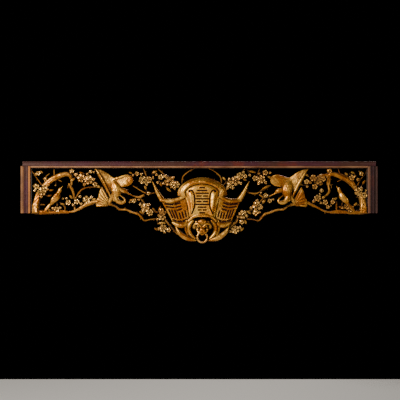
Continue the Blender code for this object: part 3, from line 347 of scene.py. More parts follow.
# Cartouche, drawn for its left half in grid steps from its own axis. A spread lists (v, half width).
FACE_SPREAD = [(13.4, 5.0), (15.0, 10.6), (17.4, 15.0), (20.2, 17.8), (23.6, 18.6), (27.0, 17.8),
               (32.0, 15.8), (38.0, 14.4), (44.0, 13.6), (48.6, 12.6)]
SHOULDER_SPREAD = [(13.0, 4.0), (14.6, 12.0), (17.4, 17.6), (21.0, 21.4), (26.0, 23.4), (33.0, 21.6),
                   (41.0, 19.0), (49.0, 16.8), (54.0, 15.4)]
SHOULDER_FRONT = 7.2
FACE_FRONT = 8.2
FACE_BULGE = 3.0

# The face's rows of bars: half the length of each, where they are and which of them are split. Beside them
# a curved stroke with a round knob at its end.
FACE_ROWS = (2.2, 4.6, 6.0, 5.2, 6.0, 5.2, 6.0, 3.8, 3.8, 2.2)
FACE_ROW_TOP = 19.8
FACE_ROW_STEP = 2.75
SPLIT_ROWS = (3, 5, 8)
SPLIT_GAP = 1.3
FACE_CURVE = [(13.4, 23.6), (12.0, 22.2), (9.8, 23.0), (8.0, 27), (7.5, 33), (7.8, 39), (10.4, 45.4)]
KNOB = (12.9, 23.4, 1.05)

# The face's two long bosses: how far out, their lean to the row on which they are measured, and their
# middle row, reach, width and height
BOSS_OUT = 11.6
BOSS_LEAN = 0.07
BOSS_LEAN_ROW = 30
BOSS_MIDDLE = 35.5
BOSS_REACH = 13.0
BOSS_WIDTH = 2.2
BOSS_HEIGHT = 1.5

STROKE_WIDTH = 1.2
STROKE_DEPTH = 0.55

# The hood: its d at the outer edge, how far it rises to the inner one, its roll between them, its folds,
# and how far it falls back at the jaws. Then its edges, and the hems and folds of the cloth around it.
HOOD_FRONT = 6.6
HOOD_SLOPE = 3.2
HOOD_ROLL = 1.7
HOOD_FOLD = 0.42
HOOD_DROP = 2.9
HOOD_COLUMNS = 48
HOOD_OUTER = [(-13.9, 55.1), (-16.2, 46.4), (-18.6, 38.0), (-22.6, 32.4), (-24.8, 26.6), (-23.6, 21.0),
              (-18.6, 15.4), (-10.6, 11.2), (0.0, 9.5)]
HOOD_INNER = [(-9.9, 53.5), (-12.0, 46.4), (-12.9, 38.0), (-14.3, 32.0), (-16.2, 27.0), (-17.0, 23.6),
              (-13.6, 20.0), (-8.0, 17.2), (0.0, 15.9)]
FACE_HEM = [(-13.6, 52.8, 1.2, 9.4), (-9.4, 49.0, 1.6, 10.2), (-4.6, 47.0, 1.7, 10.8),
            (0.0, 46.4, 1.7, 11.0)]
BOWL = [(-26.6, 58.0, 0.8, 6.4), (-24.0, 63.0, 1.9, 7.0), (-19.8, 67.0, 2.4, 7.6),
        (-15.0, 69.6, 2.4, 8.0), (-10.4, 71.0, 1.8, 8.2), (-6.0, 71.8, 0.7, 8.2)]
JOWL_FOLD = [(-9.6, 52.6, 1.4, 9.6), (-12.6, 56.0, 1.9, 9.4), (-13.6, 61.0, 1.9, 9.0),
             (-11.8, 66.0, 1.7, 8.8), (-7.6, 70.0, 1.2, 8.6)]
TIE_FOLD = [(-15.4, 53.0, 1.8, 7.4), (-16.4, 60.0, 1.6, 7.4), (-14.4, 66.6, 1.6, 7.6)]

# Side banners, in grid steps from the cartouche's axis. The two differ at their outer edges.
BANNER_OUTER_TOP = {-1: 41.4, 1: 38.4}
BANNER_OUTER_BOTTOM = {-1: 29.4, 1: 28.4}
BANNER_INNER_TOP = 17.6
BANNER_INNER_BOTTOM = 12.2
BANNER_SAG = 2.6
BANNER_TOP = 32.0
BANNER_INNER_RISE = 3.4
BANNER_BOTTOM = 54.4
BANNER_FRONT = 7.4
BANNER_BELLY = 0.9
BANNER_SLOPE = 0.8
HORN_LENGTH = 18.0
HORN_LEAN = 8.4
HORN_RADIUS = 2.5

# The horn's further points as (share of its lean, share of its length, share of its radius), and the hems
# as (share of the way down, radii from the inner to the outer edge)
HORN_BEND = ((0.40, 0.42, 0.74), (0.72, 0.74, 0.42), (1.0, 1.0, 0.12))
BANNER_HEMS = ((0.0, (1.7, 2.1, 2.3, 2.1, 1.6)), (1.0, (1.6, 2.5, 2.8, 2.3, 1.2)))

# The ring, its place as (v, d)
RING_PLACE = (68.9, 10.2)
RING_RADIUS = 4.9
RING_THICKNESS = 0.95

# The mask's rounds as (v, d, radii, rings, sectors) on its axis and as (u, v, d, radii) beside it
MASK_MIDDLE = [(55.8, 9.0, (5.4, 4.0, 2.8), 20, 30), (58.6, 7.6, (6.4, 4.6, 2.6), 20, 30),
               (53.6, 10.8, (4.6, 2.7, 2.0), 16, 24), (61.6, 10.8, (3.0, 2.3, 2.0), 16, 24),
               (65.4, 9.8, (2.4, 1.5, 1.5), 14, 20)]
MASK_ROUNDS = [(7.8, 57.0, 7.2, (3.2, 3.8, 2.0)), (5.6, 54.0, 9.0, (2.0, 1.7, 1.4)),
               (2.1, 63.6, 10.8, (1.6, 1.3, 1.4)), (1.7, 62.2, 12.0, (0.9, 0.8, 0.7)),
               (4.4, 61.2, 9.2, (1.8, 1.7, 1.5))]
MASK_EYE = (4.0, 57.9, 11.2, (1.15, 0.95, 0.8))
MASK_BROW = [(8.8, 57.2, 0.9, 8.8), (6.4, 55.6, 1.2, 10.2), (3.6, 56.0, 1.3, 11.2), (1.0, 58.6, 1.1, 11.8)]
MASK_LIP = [(0.4, 63.9, 0.8, 11.3), (2.8, 64.5, 0.95, 10.9), (5.0, 62.4, 0.7, 9.8)]

# The board's plain border: how far it reaches into the opening, and how thick it is
BORDER_EDGE = 0.36
BORDER_DEPTH = 5.0


def metres(points):
    """Grid points (u, v, d) as places in metres."""
    points = np.asarray(points, float)
    u, v, d = points[..., 0], points[..., 1], points[..., 2]
    return np.stack([u * COLUMN, BOARD_HIGH.y - d * DEPTH_STEP, RAIL_LOW.z - v * ROW], axis=-1)


def mirrored(path, axis):
    """The path reflected about the line u = axis."""
    return [(2 * axis - point[0], *point[1:]) for point in path]


def about(path, axis, side):
    """A path that is drawn about u = 0 on the left, moved to the axis and to one side."""
    return [(axis - side * point[0], *point[1:]) for point in path]


def for_half(left, axis):
    """A function that gives a path drawn for the left as it is, or mirrored for the right."""
    return lambda path: list(path) if left else mirrored(path, axis)


def both_halves(line):
    """A line that is drawn for the left half and ends at u = 0, with its mirror image after it."""
    return line + mirrored(line[-2::-1], 0.0)


def smooth(path, steps):
    """Points of a Catmull-Rom curve through the path."""
    ends = [path[0], *path, path[-1]]
    made = []
    for before, start, stop, after in zip(ends, ends[1:], ends[2:], ends[3:]):
        for k in range(steps):
            t = k / steps
            made.append(tuple(
                0.5 * (2 * q + (r - p) * t + (2 * p - 5 * q + 4 * r - s) * t**2
                       + (3 * q - p - 3 * r + s) * t**3)
                for p, q, r, s in zip(before, start, stop, after)))
    made.append(path[-1])
    return made


def with_depth(path, depth):
    """The path with d filled in where a point doesn't state it."""
    return [(*point, depth)[:4] for point in path]


def tube_faces(number, sides):
    """Point numbers of so many rings, the same a step further round, and the faces from ring to ring."""
    index = np.arange(number * sides).reshape(number, sides)
    after = np.roll(index, -1, axis=1)
    faces = np.stack([index[:-1], after[:-1], after[1:], index[1:]], axis=-1)
    return index, after, faces.reshape(-1, 4).tolist()


class Block:
    """Closed shells carved one after another on the grid, which become one mesh."""

    def __init__(self):
        self.points = []
        self.faces = []
        self.paint = []
        self.count = 0

    def add(self, points, faces, paint=None):
        """Takes in points and faces. paint is how far each point is inked, from 0 to 1."""
        points = np.asarray(points, float).reshape(-1, 3)
        self.points.append(points)
        self.paint.append(np.zeros(len(points)) if paint is None else np.asarray(paint, float).ravel())
        self.faces.extend([[corner + self.count for corner in face] for face in faces])
        self.count += len(points)

    def shell(self, rings):
        """A closed shell through rings of points, drawn to a middle point at either end."""
        rings = np.asarray(rings, float)
        number, sides, _ = rings.shape
        index, after, faces = tube_faces(number, sides)
        first = number * sides
        faces += [[first, after[0, k], index[0, k]] for k in range(sides)]
        faces += [[first + 1, index[-1, k], after[-1, k]] for k in range(sides)]
        points = np.concatenate([rings.reshape(-1, 3), rings[:1].mean(axis=1), rings[-1:].mean(axis=1)])
        self.add(points, faces)

    def plate(self, front, back, paint):
        """A closed plate with the given front grid of points and a flat back at depth back."""
        rows, columns, _ = front.shape
        rear = front.copy()
        rear[..., 2] = back
        size = rows * columns
        index = np.arange(size).reshape(rows, columns)
        quads = np.stack([index[:-1, :-1], index[:-1, 1:], index[1:, 1:], index[1:, :-1]], axis=-1)
        quads = quads.reshape(-1, 4)
        faces = quads.tolist() + (quads[:, ::-1] + size).tolist()
        for edge in (index[0], index[-1], index[:, 0], index[:, -1]):
            faces += [[a, b, b + size, a + size] for a, b in zip(edge.tolist(), edge[1:].tolist())]
        inked = np.concatenate([paint.ravel(), np.zeros(size)])
        self.add(np.concatenate([front.reshape(-1, 3), rear.reshape(-1, 3)]), faces, inked)

    def piece(self, name, material, slot, stands_for, crease):
        """The block as an object that rides on the frieze and stands for one of its solids."""
        points = metres(np.concatenate(self.points))
        paint = np.concatenate(self.paint)
        return make_piece(name, points, self.faces, material, stands_for, crease, paint)


def make_piece(name, points, faces, material, stands_for, crease, paint=None):
    """A smooth mesh with edges sharper than crease degrees kept, which rides on the frieze and stands for
    one of its solids."""
    mesh = bpy.data.meshes.new(name)
    mesh.from_pydata(points.tolist(), [], faces)
    bm = bmesh.new()
    bm.from_mesh(mesh)
    bmesh.ops.recalc_face_normals(bm, faces=bm.faces)
    bm.to_mesh(mesh)
    bm.free()
    if paint is not None:
        inked = mesh.attributes.new("inked", "FLOAT", "POINT")
        inked.data.foreach_set("value", paint.astype(np.float32))
    mesh.shade_smooth()
    mesh.set_sharp_from_angle(angle=math.radians(crease))
    made = bpy.data.objects.new(name, mesh)
    bpy.context.scene.collection.objects.link(made)
    mesh.materials.append(material)
    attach(made, "root")
    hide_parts(stands_for)
    return made


def bar(block, path, depth=BRANCH_DEPTH, flat=1.0, sides=14, steps=6, carve=None, blunt=1.0):
    """A tapering bar with rounded ends. carve(turn, run) is the share by which its surface swells, and
    blunt is how far the rounded ends reach as a share of the radius."""
    line = np.array(smooth(with_depth(path, depth), steps))
    u, v, radius, d = line.T
    across_u, across_v = -np.gradient(v), np.gradient(u)
    length = np.hypot(across_u, across_v) + TINY
    across_u, across_v = across_u / length, across_v / length
    run = np.concatenate([[0.0], np.cumsum(np.hypot(np.diff(u), np.diff(v)))])
    caps = [(math.sin(math.radians(angle)), math.cos(math.radians(angle))) for angle in CAP_ANGLES]
    stations = [(0, -beyond, share) for beyond, share in reversed(caps)]
    stations += [(k, 0.0, 1.0) for k in range(len(line))]
    stations += [(len(line) - 1, beyond, share) for beyond, share in caps]
    turn = 2 * np.pi * np.arange(sides) / sides
    rings = []
    for k, beyond, share in stations:
        swell = 0.0 if carve is None else carve(turn, run[k])
        reach = radius[k] * share * (1 + swell)
        middle_u = u[k] + across_v[k] * beyond * radius[k] * blunt
        middle_v = v[k] - across_u[k] * beyond * radius[k] * blunt
        rings.append(np.stack([middle_u + across_u[k] * reach * np.cos(turn),
                               middle_v + across_v[k] * reach * np.cos(turn),
                               d[k] + reach * flat * np.sin(turn)], axis=-1))
    block.shell(rings)


def ball(block, place, radii, rings=8, sectors=12):
    """An ellipsoid at (u, v, d), with radii across, up and forward."""
    lean = np.pi * (np.arange(1, rings) / rings)
    turn = 2 * np.pi * np.arange(sectors) / sectors
    made = [np.stack([place[0] + radii[0] * math.sin(a) * np.cos(turn),
                      place[1] + radii[1] * math.sin(a) * np.sin(turn),
                      place[2] + radii[2] * math.cos(a) + 0 * turn], axis=-1) for a in lean]
    block.shell(made)


def blade(block, spine, half_widths, thickness, relief):
    """A thin closed form along a spine of (u, v, d) points, such as a leaf or a feather. relief(t, side)
    is how far its front is raised."""
    spine = np.asarray(spine, float)
    du, dv = np.gradient(spine[:, 0]), np.gradient(spine[:, 1])
    length = np.hypot(du, dv) + TINY
    across = np.stack([-dv / length, du / length], axis=-1)
    side = np.linspace(-1, 1, BLADE_COLUMNS)
    crown = np.sqrt(np.clip(1 - side**2, 0, 1))
    rings = []
    for k, (u, v, d) in enumerate(spine):
        t = k / (len(spine) - 1)
        raised = relief(t, side) * crown**0.3
        top = np.stack([u + across[k, 0] * side * half_widths[k], v + across[k, 1] * side * half_widths[k],
                        d + thickness * crown + raised], axis=-1)
        under = top[1:-1][::-1].copy()
        under[:, 2] = d - BLADE_BELLY * thickness * crown[1:-1][::-1]
        rings.append(np.concatenate([top, under]))
    block.shell(rings)


def bend_line(root, middle, tip, steps):
    """Points of a quadratic curve from root to tip that is drawn towards middle."""
    t = np.linspace(0, 1, steps)[:, None]
    root, middle, tip = (np.asarray(point, float) for point in (root, middle, tip))
    return (1 - t) ** 2 * root + 2 * t * (1 - t) * middle + t**2 * tip


def bark(seed, depth=1.0, knots=0.45):
    """Long winding ridges along a branch, with a knot at every KNOT_STEP."""
    def carve(turn, run):
        broad = 0.10 * np.cos(4 * turn + 0.16 * run + seed)
        fine = 0.05 * np.cos(9 * turn - 0.3 * run + 2.1 * seed)
        cross = 0.035 * np.cos(6 * turn + 1.5 * run + seed)
        number = round((run - seed) / KNOT_STEP)
        knot = math.exp(-(((run - seed - KNOT_STEP * number) / KNOT_LENGTH) ** 2))
        around = 0.5 + 0.5 * np.cos(turn - 2.4 * number - seed)
        return depth * (broad + fine + cross + knots * knot * around**4)
    return carve


def cloth(folds, height, seed=0.0):
    """Soft folds along a roll of cloth."""
    def carve(turn, run):
        return height * np.sin(folds * turn + 0.25 * math.sin(0.4 * run + seed) + seed)
    return carve


def barbs(length, height=0.07):
    """A quill with slanting barbs on both sides."""
    def relief(t, side):
        quill = 0.16 * np.exp(-((side / 0.16) ** 2))
        return quill + height * np.cos(2 * np.pi * (t * length * 0.75 + np.abs(side) * 0.8))
    return relief


def veins(height=0.1):
    """A leaf's middle groove and side veins."""
    def relief(t, side):
        return -0.28 * np.exp(-((side / 0.14) ** 2)) + height * np.cos(2 * np.pi * (4 * t + np.abs(side)))
    return relief


def feather(block, root, tip, width, depth, lift=0.3, steps=16, thick=0.42):
    """A feather with a rounded tip, from root to tip on the grid."""
    root, tip = np.asarray(root, float), np.asarray(tip, float)
    middle = (root + tip) / 2
    length = float(np.hypot(*(tip - root)))
    spine = bend_line((*root, depth), (*middle, depth + 2 * lift), (*tip, depth), steps)
    t = np.linspace(0, 1, steps)
    widest, end = 0.66, 1.02
    before = 0.45 + 0.55 * np.sin(np.pi / 2 * np.clip(t / widest, 0, 1))
    after = np.sqrt(np.clip(1 - ((t - widest) / (end - widest)) ** 2, 0, 1))
    blade(block, spine, width * np.where(t < widest, before, after), thick, barbs(length))


def leaf(block, root, tip, width, depth, bow):
    """A pointed leaf that bows forward in the middle."""
    steps = 14
    root, tip = np.asarray(root, float), np.asarray(tip, float)
    across = np.array([-(tip - root)[1], (tip - root)[0]])
    middle = (root + tip) / 2 + bow * across
    spine = bend_line((*root, depth), (*middle, depth + 1.2), (*tip, depth + 0.2), steps)
    t = np.linspace(0, 1, steps)
    blade(block, spine, width * np.sin(np.pi * np.clip(t, 0.03, 0.985)) ** 0.75 + 0.05, 0.4, veins())


def petal(block, middle, outward, long, wide, high, tip_up=0.1, dish=0.0):
    """A plump rounded petal at middle (u, v, d) that points outward, with a soft groove down its middle.
    dish is how far its inner part sinks behind its rim."""
    turn = 2 * np.pi * np.arange(PETAL_SIDES) / PETAL_SIDES
    sideways = np.array([-outward[1], outward[0]])
    notch = 1 - 0.12 * np.exp(-((np.angle(np.exp(1j * turn)) / 0.4) ** 2))
    rings = []
    for share, level, sunk in PETAL_RINGS:
        along = long * share * np.cos(turn) * notch
        beside = wide * share * np.sin(turn)
        groove = 0.2 * np.exp(-((np.sin(turn) * share / 0.2) ** 2)) * (np.cos(turn) > 0) * (level > 0.2)
        d = middle[2] + high * (level - dish * sunk - groove) + tip_up * along
        rings.append(np.stack([middle[0] + outward[0] * along + sideways[0] * beside,
                               middle[1] + outward[1] * along + sideways[1] * beside, d], axis=-1))
    block.shell(rings)


def petal_ring(block, u, v, depth, count, reach, size, start, rng):
    """Petals around a middle: reach is their distance from it and size half a petal's width."""
    for k in range(count):
        turn = start + 2 * np.pi * k / count + rng.uniform(-0.1, 0.1)
        outward = np.array([math.sin(turn), -math.cos(turn)])
        middle = (u + reach * outward[0], v + reach * outward[1], depth + rng.uniform(-0.15, 0.15))
        tip_up = rng.uniform(-0.3, 0.35)
        petal(block, middle, outward, 1.04 * size, 1.06 * size, 0.66 * size, tip_up, PETAL_DISH)


def blossom(block, u, v, radius, depth, rng):
    """An open blossom: rounded petals around a boss with stamens, in two rings where it's large."""
    start = rng.uniform(0, 2 * np.pi)
    if radius > LARGE_BLOSSOM:
        outer, inner = depth - 0.2, depth + 0.10 * radius
        petal_ring(block, u, v, outer, 6, 0.68 * radius, 0.32 * radius, start, rng)
        petal_ring(block, u, v, inner, 5, 0.30 * radius, 0.20 * radius, start + 0.3, rng)
    else:
        petal_ring(block, u, v, depth, 5, 0.60 * radius, 0.37 * radius, start, rng)
    ball(block, (u, v, depth + 0.30 * radius), (0.17 * radius, 0.17 * radius, 0.22 * radius))
    reach = 0.22 * radius
    for k in range(STAMENS):
        turn = start + 2 * np.pi * (k + 0.5) / STAMENS
        place = (u + reach * math.sin(turn), v - reach * math.cos(turn), depth + 0.40 * radius)
        ball(block, place, (0.05 * radius, 0.05 * radius, 0.07 * radius), rings=4, sectors=6)
    ball(block, (u, v, depth - 0.18 * radius), (0.5 * radius, 0.5 * radius, 0.26 * radius))


def bud(block, u, v, radius, depth, rng):
    """A half-open bud: three plump petals that clasp each other on a calyx."""
    start = rng.uniform(0, 2 * np.pi)
    for k in range(BUD_PETALS):
        turn = start + 2 * np.pi * k / BUD_PETALS
        outward = np.array([math.sin(turn), -math.cos(turn)])
        middle = (u + 0.40 * radius * outward[0], v + 0.40 * radius * outward[1], depth)
        petal(block, middle, outward, 0.62 * radius, 0.56 * radius, 0.66 * radius)
    calyx = (0.34 * radius, 0.34 * radius, 0.4 * radius)
    ball(block, (u, v, depth + 0.42 * radius), calyx, rings=6, sectors=10)


def carved_branches(left):
    """The branches of one half, with bark and spurs, and their paths."""
    block = Block()
    rng = np.random.default_rng(3 if left else 5)
    seed = 0.3 if left else 1.9
    paths = list(LEFT_BRANCHES if left else RIGHT_BRANCHES)
    shared = (LOWER_BRANCH, MIDDLE_BRANCH, STUB_BRANCH, SIDE_BRANCH, TOP_TWIG, HOOD_TWIG, CROWN_TWIG,
              WING_LINK)
    paths += [for_half(left, CRANE_AXIS)(path) for path in shared]
    paths += [for_half(left, END_AXIS)(path) for path in (*SPURS, MAGPIE_PERCH)]
    for k, path in enumerate(paths):
        thin = [(u, v, radius * (0.55 + 0.2 * radius), *d) for u, v, radius, *d in path]
        bar(block, thin, sides=16, steps=8, carve=bark(seed + 1.7 * k, depth=1.3))
        spurs(block, thin, rng)
    return block, paths


def spurs(block, path, rng):
    """Short pointed stubs on alternating sides of a branch, one to every SPUR_STEP."""
    line = np.array(smooth(with_depth(path, BRANCH_DEPTH), 6))
    steps = np.hypot(np.diff(line[:, 0]), np.diff(line[:, 1]))
    run = np.concatenate([[0.0], np.cumsum(steps)])
    for number, place in enumerate(np.arange(0.5 * SPUR_STEP, run[-1] - 1.5, SPUR_STEP)):
        k = int(np.searchsorted(run, place))
        u, v, radius, d = line[k]
        along = (line[k, :2] - line[k - 1, :2]) / max(steps[k - 1], TINY)
        across = np.array([-along[1], along[0]]) * (1 if number % 2 else -1)
        length = rng.uniform(1.2, 2.6)
        heading = (0.6 * along + 0.8 * across) * length
        thick = min(radius, 0.9)
        spur = [(u, v, 0.6 * thick, d),
                (u + 0.6 * heading[0], v + 0.6 * heading[1] - 0.1, 0.42 * thick, d + 0.3),
                (u + heading[0], v + heading[1], 0.22 * thick, d + 0.5)]
        bar(block, spur, sides=8, steps=4)


def carved_trunk(left):
    """The old trunk, its arching branch and the ground."""
    block = Block()
    offset = 0 if left else 2
    for k, (path, blunt) in enumerate(((TRUNK, 0.15), (ARCH, 1.0), (GROUND, 0.6))):
        route = for_half(left, END_AXIS)(path)
        old_bark = bark(0.8 + 1.3 * k + offset, depth=1.0, knots=0.2)
        bar(block, route, sides=40, steps=14, carve=old_bark, blunt=blunt)
    return block


def stems(block, joined, waiting):
    """Thin twigs at the back, each from a waiting place to the nearest wood that is already joined."""
    joined = [tuple(point) for point in joined]
    waiting = list(waiting)
    while waiting:
        gaps = np.hypot(*(np.array(waiting)[:, None, :] - np.array(joined)[None, :, :]).transpose(2, 0, 1))
        first, second = np.unravel_index(np.argmin(gaps), gaps.shape)
        start, end = waiting.pop(int(first)), joined[int(second)]
        joined.append(start)
        middle = ((start[0] + end[0]) / 2, (start[1] + end[1]) / 2 - 0.6)
        path = [(*start, TWIG_RADIUS * 0.8, TWIG_DEPTH), (*middle, TWIG_RADIUS, TWIG_DEPTH),
                (*end, TWIG_RADIUS, TWIG_DEPTH + 0.5)]
        bar(block, path, sides=8, steps=4, carve=bark(start[0]))


def stalk(block, u, v, depth, radius, spare, rings=6, sectors=8):
    """A round stem that joins a flower or leaf at the given depth to the twigs behind it, and reaches
    into both by spare."""
    reach = (depth - TWIG_DEPTH) / 2 + spare
    ball(block, (u, v, (depth + TWIG_DEPTH) / 2), (radius, radius, reach), rings, sectors)


def carved_flowers(left, wood_paths, twigs):
    """Every blossom, bud and leaf of one half, on stems that reach back to the twigs."""
    rng = np.random.default_rng(7 if left else 11)
    flowers, leaves = Block(), Block()
    own, small, foliage = ([place for place in places if (place[0] < 0) == left]
                           for places in (BLOSSOMS, BUDS, LEAVES))
    wood = [point[:2] for path in wood_paths for point in smooth(with_depth(path, BRANCH_DEPTH), 3)]
    for u, v, radius in own:
        depth = BLOSSOM_DEPTH + rng.uniform(-0.2, 0.3)
        blossom(flowers, u, v, radius, depth, rng)
        stalk(flowers, u, v, depth, 0.26 * radius, spare=0.5, rings=8, sectors=12)
    for u, v, radius in small:
        depth = BLOSSOM_DEPTH - 0.5 + rng.uniform(-0.3, 0.3)
        bud(flowers, u, v, radius, depth, rng)
        stalk(flowers, u, v, depth, BUD_STALK, spare=0.4)
    for root_u, root_v, tip_u, tip_v, width in foliage:
        depth = BLOSSOM_DEPTH - 1.4
        leaf(leaves, (root_u, root_v), (tip_u, tip_v), width, depth, rng.uniform(-0.16, 0.16))
        stalk(leaves, root_u, root_v, depth, LEAF_STALK, spare=0.5)
    stems(twigs, wood, [place[:2] for place in own + small + foliage])
    return flowers, leaves


def even_line(line, count):
    """So many points, evenly spaced along a smooth line through (u, v) points."""
    fine = np.array(smooth([(*point, 0.0, 0.0) for point in line], 10))[:, :2]
    run = np.concatenate([[0.0], np.cumsum(np.hypot(*np.diff(fine, axis=0).T))])
    places = np.linspace(0, run[-1], count)
    return np.stack([np.interp(places, run, fine[:, 0]), np.interp(places, run, fine[:, 1])], axis=-1)


def layered_wing(block, roots, tips, depth, width, count, rise):
    """Long feathers from the roots to the tips, with two shorter rows over their roots. rise is how far
    the last feather of a row lies in front of the first."""
    starts, ends = even_line(roots, count), even_line(tips, count)
    for reach, step, share in WING_ROWS:
        for k, (root, tip) in enumerate(zip(starts, ends)):
            lift = depth + step + rise * k / (count - 1) + 0.1 * (k % 2)
            feather(block, root, root + (tip - root) * reach, width * share, lift, thick=0.26)


def down_feathers(count, height, row=3.2):
    """Fine streaks along a body that bend to and fro, row by row, as small soft feathers do."""
    def carve(turn, run):
        bend = 1.3 * math.sin(2 * math.pi * run / row)
        streak = np.cos(count * turn + bend * np.cos(3 * turn))
        tuft = 0.5 + 0.5 * np.cos(2 * np.pi * run / row + 0.5 * count * turn)
        return height * (streak + 0.8 * tuft)
    return carve


def fan_tail(block, place):
    """The tail, one leaf-shaped plate carved with feathers that run to its root."""
    lines, columns = 90, 70
    share = np.linspace(0, 1, columns)[None, :, None]
    spot = (even_line(place(TAIL_LEFT), lines)[:, None] * (1 - share)
            + even_line(place(TAIL_RIGHT), lines)[:, None] * share)
    root = np.array(place([TAIL_ROOT])[0])
    u, v = spot[..., 0], spot[..., 1]
    angle = np.arctan2(root[1] - v, np.abs(root[0] - u) + 0.4)
    reach = np.hypot(u - root[0], v - root[1])
    quill = np.abs(np.sin(TAIL_FEATHERS * angle))
    fine = 0.5 + 0.5 * np.cos(2 * np.pi * (reach / 1.25 - 1.1 * quill))
    crown = np.sqrt(np.clip(1 - (2 * share[..., 0] - 1) ** 2, 0, 1))
    d = TAIL_DEPTH + 1.3 * crown**0.6 + (0.75 * quill**0.6 - 0.22 * fine * quill) * crown**0.3
    block.plate(np.stack([u, v, d], axis=-1), PLATE_BACK, np.zeros(u.shape))


def carved_crane(left):
    """A crane: raised wing, spread wing, body with fine streaks, bent neck, head and fanned tail."""
    block = Block()
    place = for_half(left, CRANE_AXIS)
    layered_wing(block, place(WING_ROOTS), place(WING_TIPS), depth=5.3, width=1.15, count=15, rise=0.9)
    layered_wing(block, place(FAN_ROOTS), place(FAN_TIPS), depth=6.0, width=1.25, count=18, rise=0.3)
    fan_tail(block, place)
    body_down, rump_down = down_feathers(count=18, height=0.026), down_feathers(count=10, height=0.035)
    bar(block, place(WING_EDGE), sides=20, steps=10, carve=bark(seed=0.4, depth=0.5))
    bar(block, place(FAN_EDGE), sides=20, steps=10, carve=bark(seed=0.7, depth=0.4))
    bar(block, place(CRANE_BODY), flat=0.85, sides=96, steps=22, carve=body_down)
    bar(block, place(CRANE_RUMP), flat=0.9, sides=64, steps=18, carve=rump_down)
    bar(block, place(CRANE_NECK), sides=28, steps=12, carve=cloth(folds=9, height=0.025))
    bar(block, place(CRANE_HEAD), sides=24, steps=12, carve=cloth(folds=7, height=0.03))
    ball(block, place([CRANE_EYE])[0], (0.42, 0.42, 0.3))
    return block


def carved_magpie(left):
    """A long-tailed bird, whose perch is one of the branches."""
    block = Block()
    place = for_half(left, END_AXIS)
    mirror = 1 if left else -1
    bar(block, place(MAGPIE_BODY), sides=32, steps=12)
    bar(block, place(MAGPIE_BEAK), sides=12, steps=6)
    ball(block, place([MAGPIE_HEAD])[0], (1.75, 1.75, 1.6), rings=14, sectors=20)
    eye = (MAGPIE_HEAD[0] + 0.5, MAGPIE_HEAD[1] - 0.3, MAGPIE_HEAD[2] + 1.5)
    ball(block, place([eye])[0], (0.34, 0.34, 0.24))
    root, tip = (np.array(point) for point in place(MAGPIE_TAIL))
    for spread, reach in MAGPIE_TAIL_FEATHERS:
        sideways = np.array([0.7, 0.7]) * mirror
        end = root + (tip - root) * reach + spread * sideways * np.array([1, mirror])
        feather(block, root, end, 0.95, MAGPIE_TAIL_DEPTH + 0.2 * spread, lift=0.1, steps=22)
    root, tip = (np.array(point) for point in place(MAGPIE_WING))
    for reach, aside, step in MAGPIE_WING_FEATHERS:
        sideways = aside * np.array([0.83, 0.56 * mirror])
        start, end = root + 0.4 * sideways, root + (tip - root) * reach + sideways
        feather(block, start, end, 1.25, MAGPIE_WING_DEPTH + step - 0.9 * reach, lift=0.8, steps=20)
    return block


def spread_grid(spread, lines, columns):
    """A grid of (u, v) over a form of the given spread, and each line's and column's share of it."""
    rows, widths = zip(*spread)
    down = np.linspace(0, 1, lines)[:, None]
    share = np.linspace(-1, 1, columns)[None, :]
    v = rows[0] + (rows[-1] - rows[0]) * down + 0 * share
    return np.interp(v, rows, widths) * share, v, down, share


def line_gap(u, v, strokes):
    """How far each grid point is from the nearest of the straight strokes."""
    nearest = np.full(u.shape, 1e9)
    for start, end in strokes:
        run_u, run_v = end[0] - start[0], end[1] - start[1]
        share = ((u - start[0]) * run_u + (v - start[1]) * run_v) / max(run_u**2 + run_v**2, TINY)
        share = np.clip(share, 0, 1)
        nearest = np.minimum(nearest, np.hypot(u - start[0] - share * run_u, v - start[1] - share * run_v))
    return nearest


def stroke_mask(u, v, strokes, knobs=()):
    """How far each grid point lies inside a stroke or round knob, from 0 to 1, as groove and as paint."""
    nearest = line_gap(u, v, strokes) - STROKE_WIDTH / 2
    for knob_u, knob_v, radius in knobs:
        nearest = np.minimum(nearest, np.hypot(u - knob_u, v - knob_v) - radius)
    groove = np.clip((0.12 - nearest) / 0.24, 0, 1)
    inked = np.clip((0.36 - nearest) / 0.2, 0, 1)
    return groove, inked


def face_strokes():
    """Rows of plain bars between two curved strokes. They spell nothing."""
    strokes = []
    for k, reach in enumerate(FACE_ROWS):
        v = FACE_ROW_TOP + FACE_ROW_STEP * k
        gap = SPLIT_GAP if k in SPLIT_ROWS else 0.0
        for side in (-1, 1):
            strokes.append(((side * gap, v), (side * reach, v)))
    curve = smooth(FACE_CURVE, 5)
    for side in (-1, 1):
        points = [(side * u, v) for u, v in curve]
        strokes.extend(zip(points, points[1:]))
    return strokes


def cartouche_face():
    """The convex middle panel with its shallow strokes, between two long bosses."""
    block = Block()
    u, v, down, share = spread_grid(FACE_SPREAD, lines=150, columns=132)
    seam = both_halves(HOOD_INNER)
    inside = np.clip(line_gap(u, v, zip(seam, seam[1:])) / 3.6, 0, 1)
    bulge = FACE_BULGE * (1 - share**4) * np.sqrt(1 - (1 - inside) ** 2)
    d = FACE_FRONT + bulge + 1.6 * down - 0.6
    across = np.exp(-(((np.abs(u) - BOSS_OUT + BOSS_LEAN * (v - BOSS_LEAN_ROW)) / BOSS_WIDTH) ** 2))
    d = d + BOSS_HEIGHT * (across * (1 - ((v - BOSS_MIDDLE) / BOSS_REACH) ** 4).clip(0, 1))
    knobs = [(side * KNOB[0], *KNOB[1:]) for side in (-1, 1)]
    groove, inked = stroke_mask(u, v, face_strokes(), knobs)
    d = d - STROKE_DEPTH * groove
    block.plate(np.stack([CARTOUCHE_AXIS + u, v, d], axis=-1), FACE_BACK, inked)
    return block


